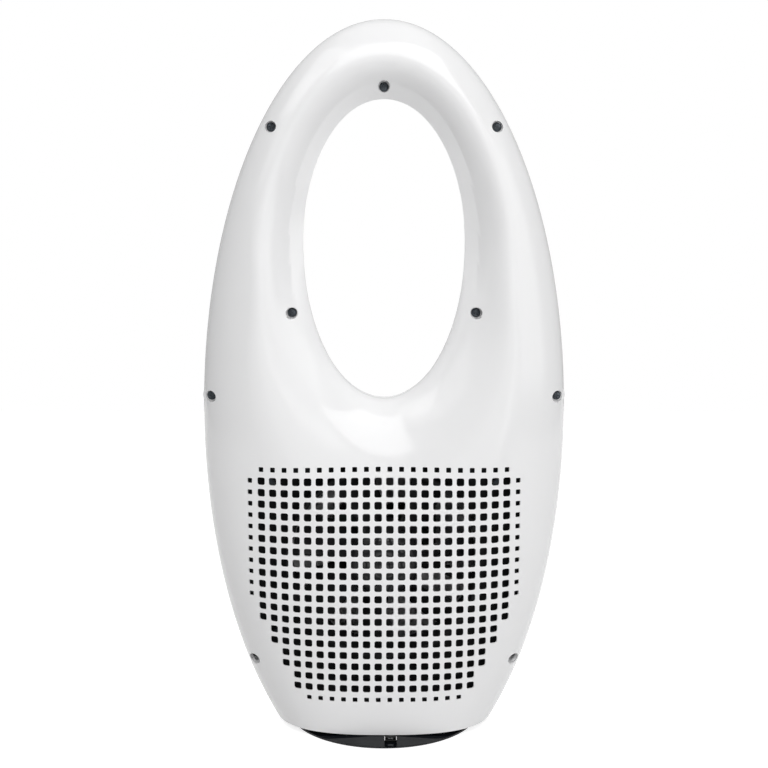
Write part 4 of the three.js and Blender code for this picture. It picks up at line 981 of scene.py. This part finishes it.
# Control panel and buttons: a glossy charcoal moulding set flush into the front, with three light grey
# buttons that press in by a millimetre.
button_grey = new_material("button plastic", (0.55, 0.56, 0.57), (0.3, 0.4), grain_scale=800, grain=0.08)
paint(["control_panel"], foot_gloss)
paint(["button_power", "button_speed", "button_swing"], button_grey)


# Lamps: a key softbox above the camera, whose lower edge shows in the gloss below the loop, wide fills to
# the right and in front, and softer panels at the upper left, behind and overhead.
aim = Vector((0, 0, 0.25))
lamp_distance = 1.6


def new_lamp(name, turn, lift_angle, width, height, radiance, mirrored=True):
    """A softbox at a turn from the camera's side and a height angle, aimed at the fan's middle."""
    data = bpy.data.lights.new(name, "AREA")
    data.shape = "RECTANGLE"
    data.size = width
    data.size_y = height
    data.energy = radiance * math.pi * width * height
    across = math.radians(turn)
    up = math.radians(lift_angle)
    towards = Vector((math.sin(across) * math.cos(up), -math.cos(across) * math.cos(up), math.sin(up)))
    lamp = bpy.data.objects.new(name, data)
    lamp.location = aim + lamp_distance * towards
    lamp.rotation_euler = (-towards).to_track_quat("-Z", "Y").to_euler()
    lamp.visible_camera = False
    lamp.visible_glossy = mirrored
    bpy.context.scene.collection.objects.link(lamp)


new_lamp("key softbox", 12, 48, 1.45, 1.1, 2.79)
new_lamp("right fill", 45, 12, 1.7, 0.95, 0.95)
new_lamp("far right fill", 62, 14, 1.0, 1.1, 0.55)
new_lamp("front fill", 10, 10, 0.9, 0.9, 0.62)
new_lamp("upper left panel", -60, 50, 0.85, 0.85, 1.46)
new_lamp("left panel", -50, 35, 0.9, 0.9, 0.88)
new_lamp("back right panel", 130, 20, 1.2, 1.2, 1.04, mirrored=False)
new_lamp("back left panel", -130, 25, 1.2, 1.2, 1.21, mirrored=False)
new_lamp("back top panel", 180, 50, 1.6, 1.2, 0.5, mirrored=False)
new_lamp("overhead panel", 0, 89, 1.4, 1.4, 0.43)


def ray_strengths(nodes, links, camera_value, gloss_value, diffuse_value):
    """A strength that depends on the kind of ray: seen by the camera, in a reflection, or as light."""
    rays = nodes.new("ShaderNodeLightPath")
    reflected = nodes.new("ShaderNodeMath")
    reflected.operation = "MULTIPLY_ADD"
    reflected.inputs[1].default_value = gloss_value - diffuse_value
    reflected.inputs[2].default_value = diffuse_value
    direct = nodes.new("ShaderNodeMath")
    direct.operation = "MULTIPLY"
    direct.inputs[1].default_value = camera_value
    strongest = nodes.new("ShaderNodeMath")
    strongest.operation = "MAXIMUM"
    links.new(rays.outputs["Is Glossy Ray"], reflected.inputs[0])
    links.new(rays.outputs["Is Camera Ray"], direct.inputs[0])
    links.new(reflected.outputs["Value"], strongest.inputs[0])
    links.new(direct.outputs["Value"], strongest.inputs[1])
    return strongest.outputs["Value"]


# Floor: a white sheet of card under the fan. It is as bright as the background for the camera, so that it
# melts into it, and keeps only a faint shadow under the foot.
floor_reach = 1.2
floor_grey = 0.6
floor_roughness = 0.9
floor_mesh = bmesh.new()
bmesh.ops.create_grid(floor_mesh, x_segments=1, y_segments=1, size=floor_reach)
floor_data = bpy.data.meshes.new("floor")
floor_mesh.to_mesh(floor_data)
floor_mesh.free()
floor_white = bpy.data.materials.new("floor white")
floor_white.use_nodes = True
floor_nodes = floor_white.node_tree.nodes
floor_links = floor_white.node_tree.links
floor_shader = floor_nodes["Principled BSDF"]
floor_shader.inputs["Base Color"].default_value = (floor_grey, floor_grey, floor_grey, 1)
floor_shader.inputs["Roughness"].default_value = floor_roughness
floor_shader.inputs["Specular IOR Level"].default_value = 0
floor_shader.inputs["Emission Color"].default_value = (1, 1, 1, 1)
floor_strength = ray_strengths(floor_nodes, floor_links, camera_value=0.8, gloss_value=0.6,
                               diffuse_value=0.115)
floor_links.new(floor_strength, floor_shader.inputs["Emission Strength"])
floor_data.materials.append(floor_white)
floor = bpy.data.objects.new("floor", floor_data)
bpy.context.scene.collection.objects.link(floor)


# World: the studio round the fan, plain white for the camera, dimmer in reflections, and dimmer still as
# light.
world = bpy.data.worlds.new("world")
bpy.context.scene.world = world
world.use_nodes = True
world_nodes = world.node_tree.nodes
world_links = world.node_tree.links
background = world_nodes["Background"]
background.inputs["Color"].default_value = (1, 1, 1, 1)
world_strength = ray_strengths(world_nodes, world_links, camera_value=1, gloss_value=0.45,
                               diffuse_value=0.07)
world_links.new(world_strength, background.inputs["Strength"])
bpy.context.scene.view_settings.view_transform = "Standard"
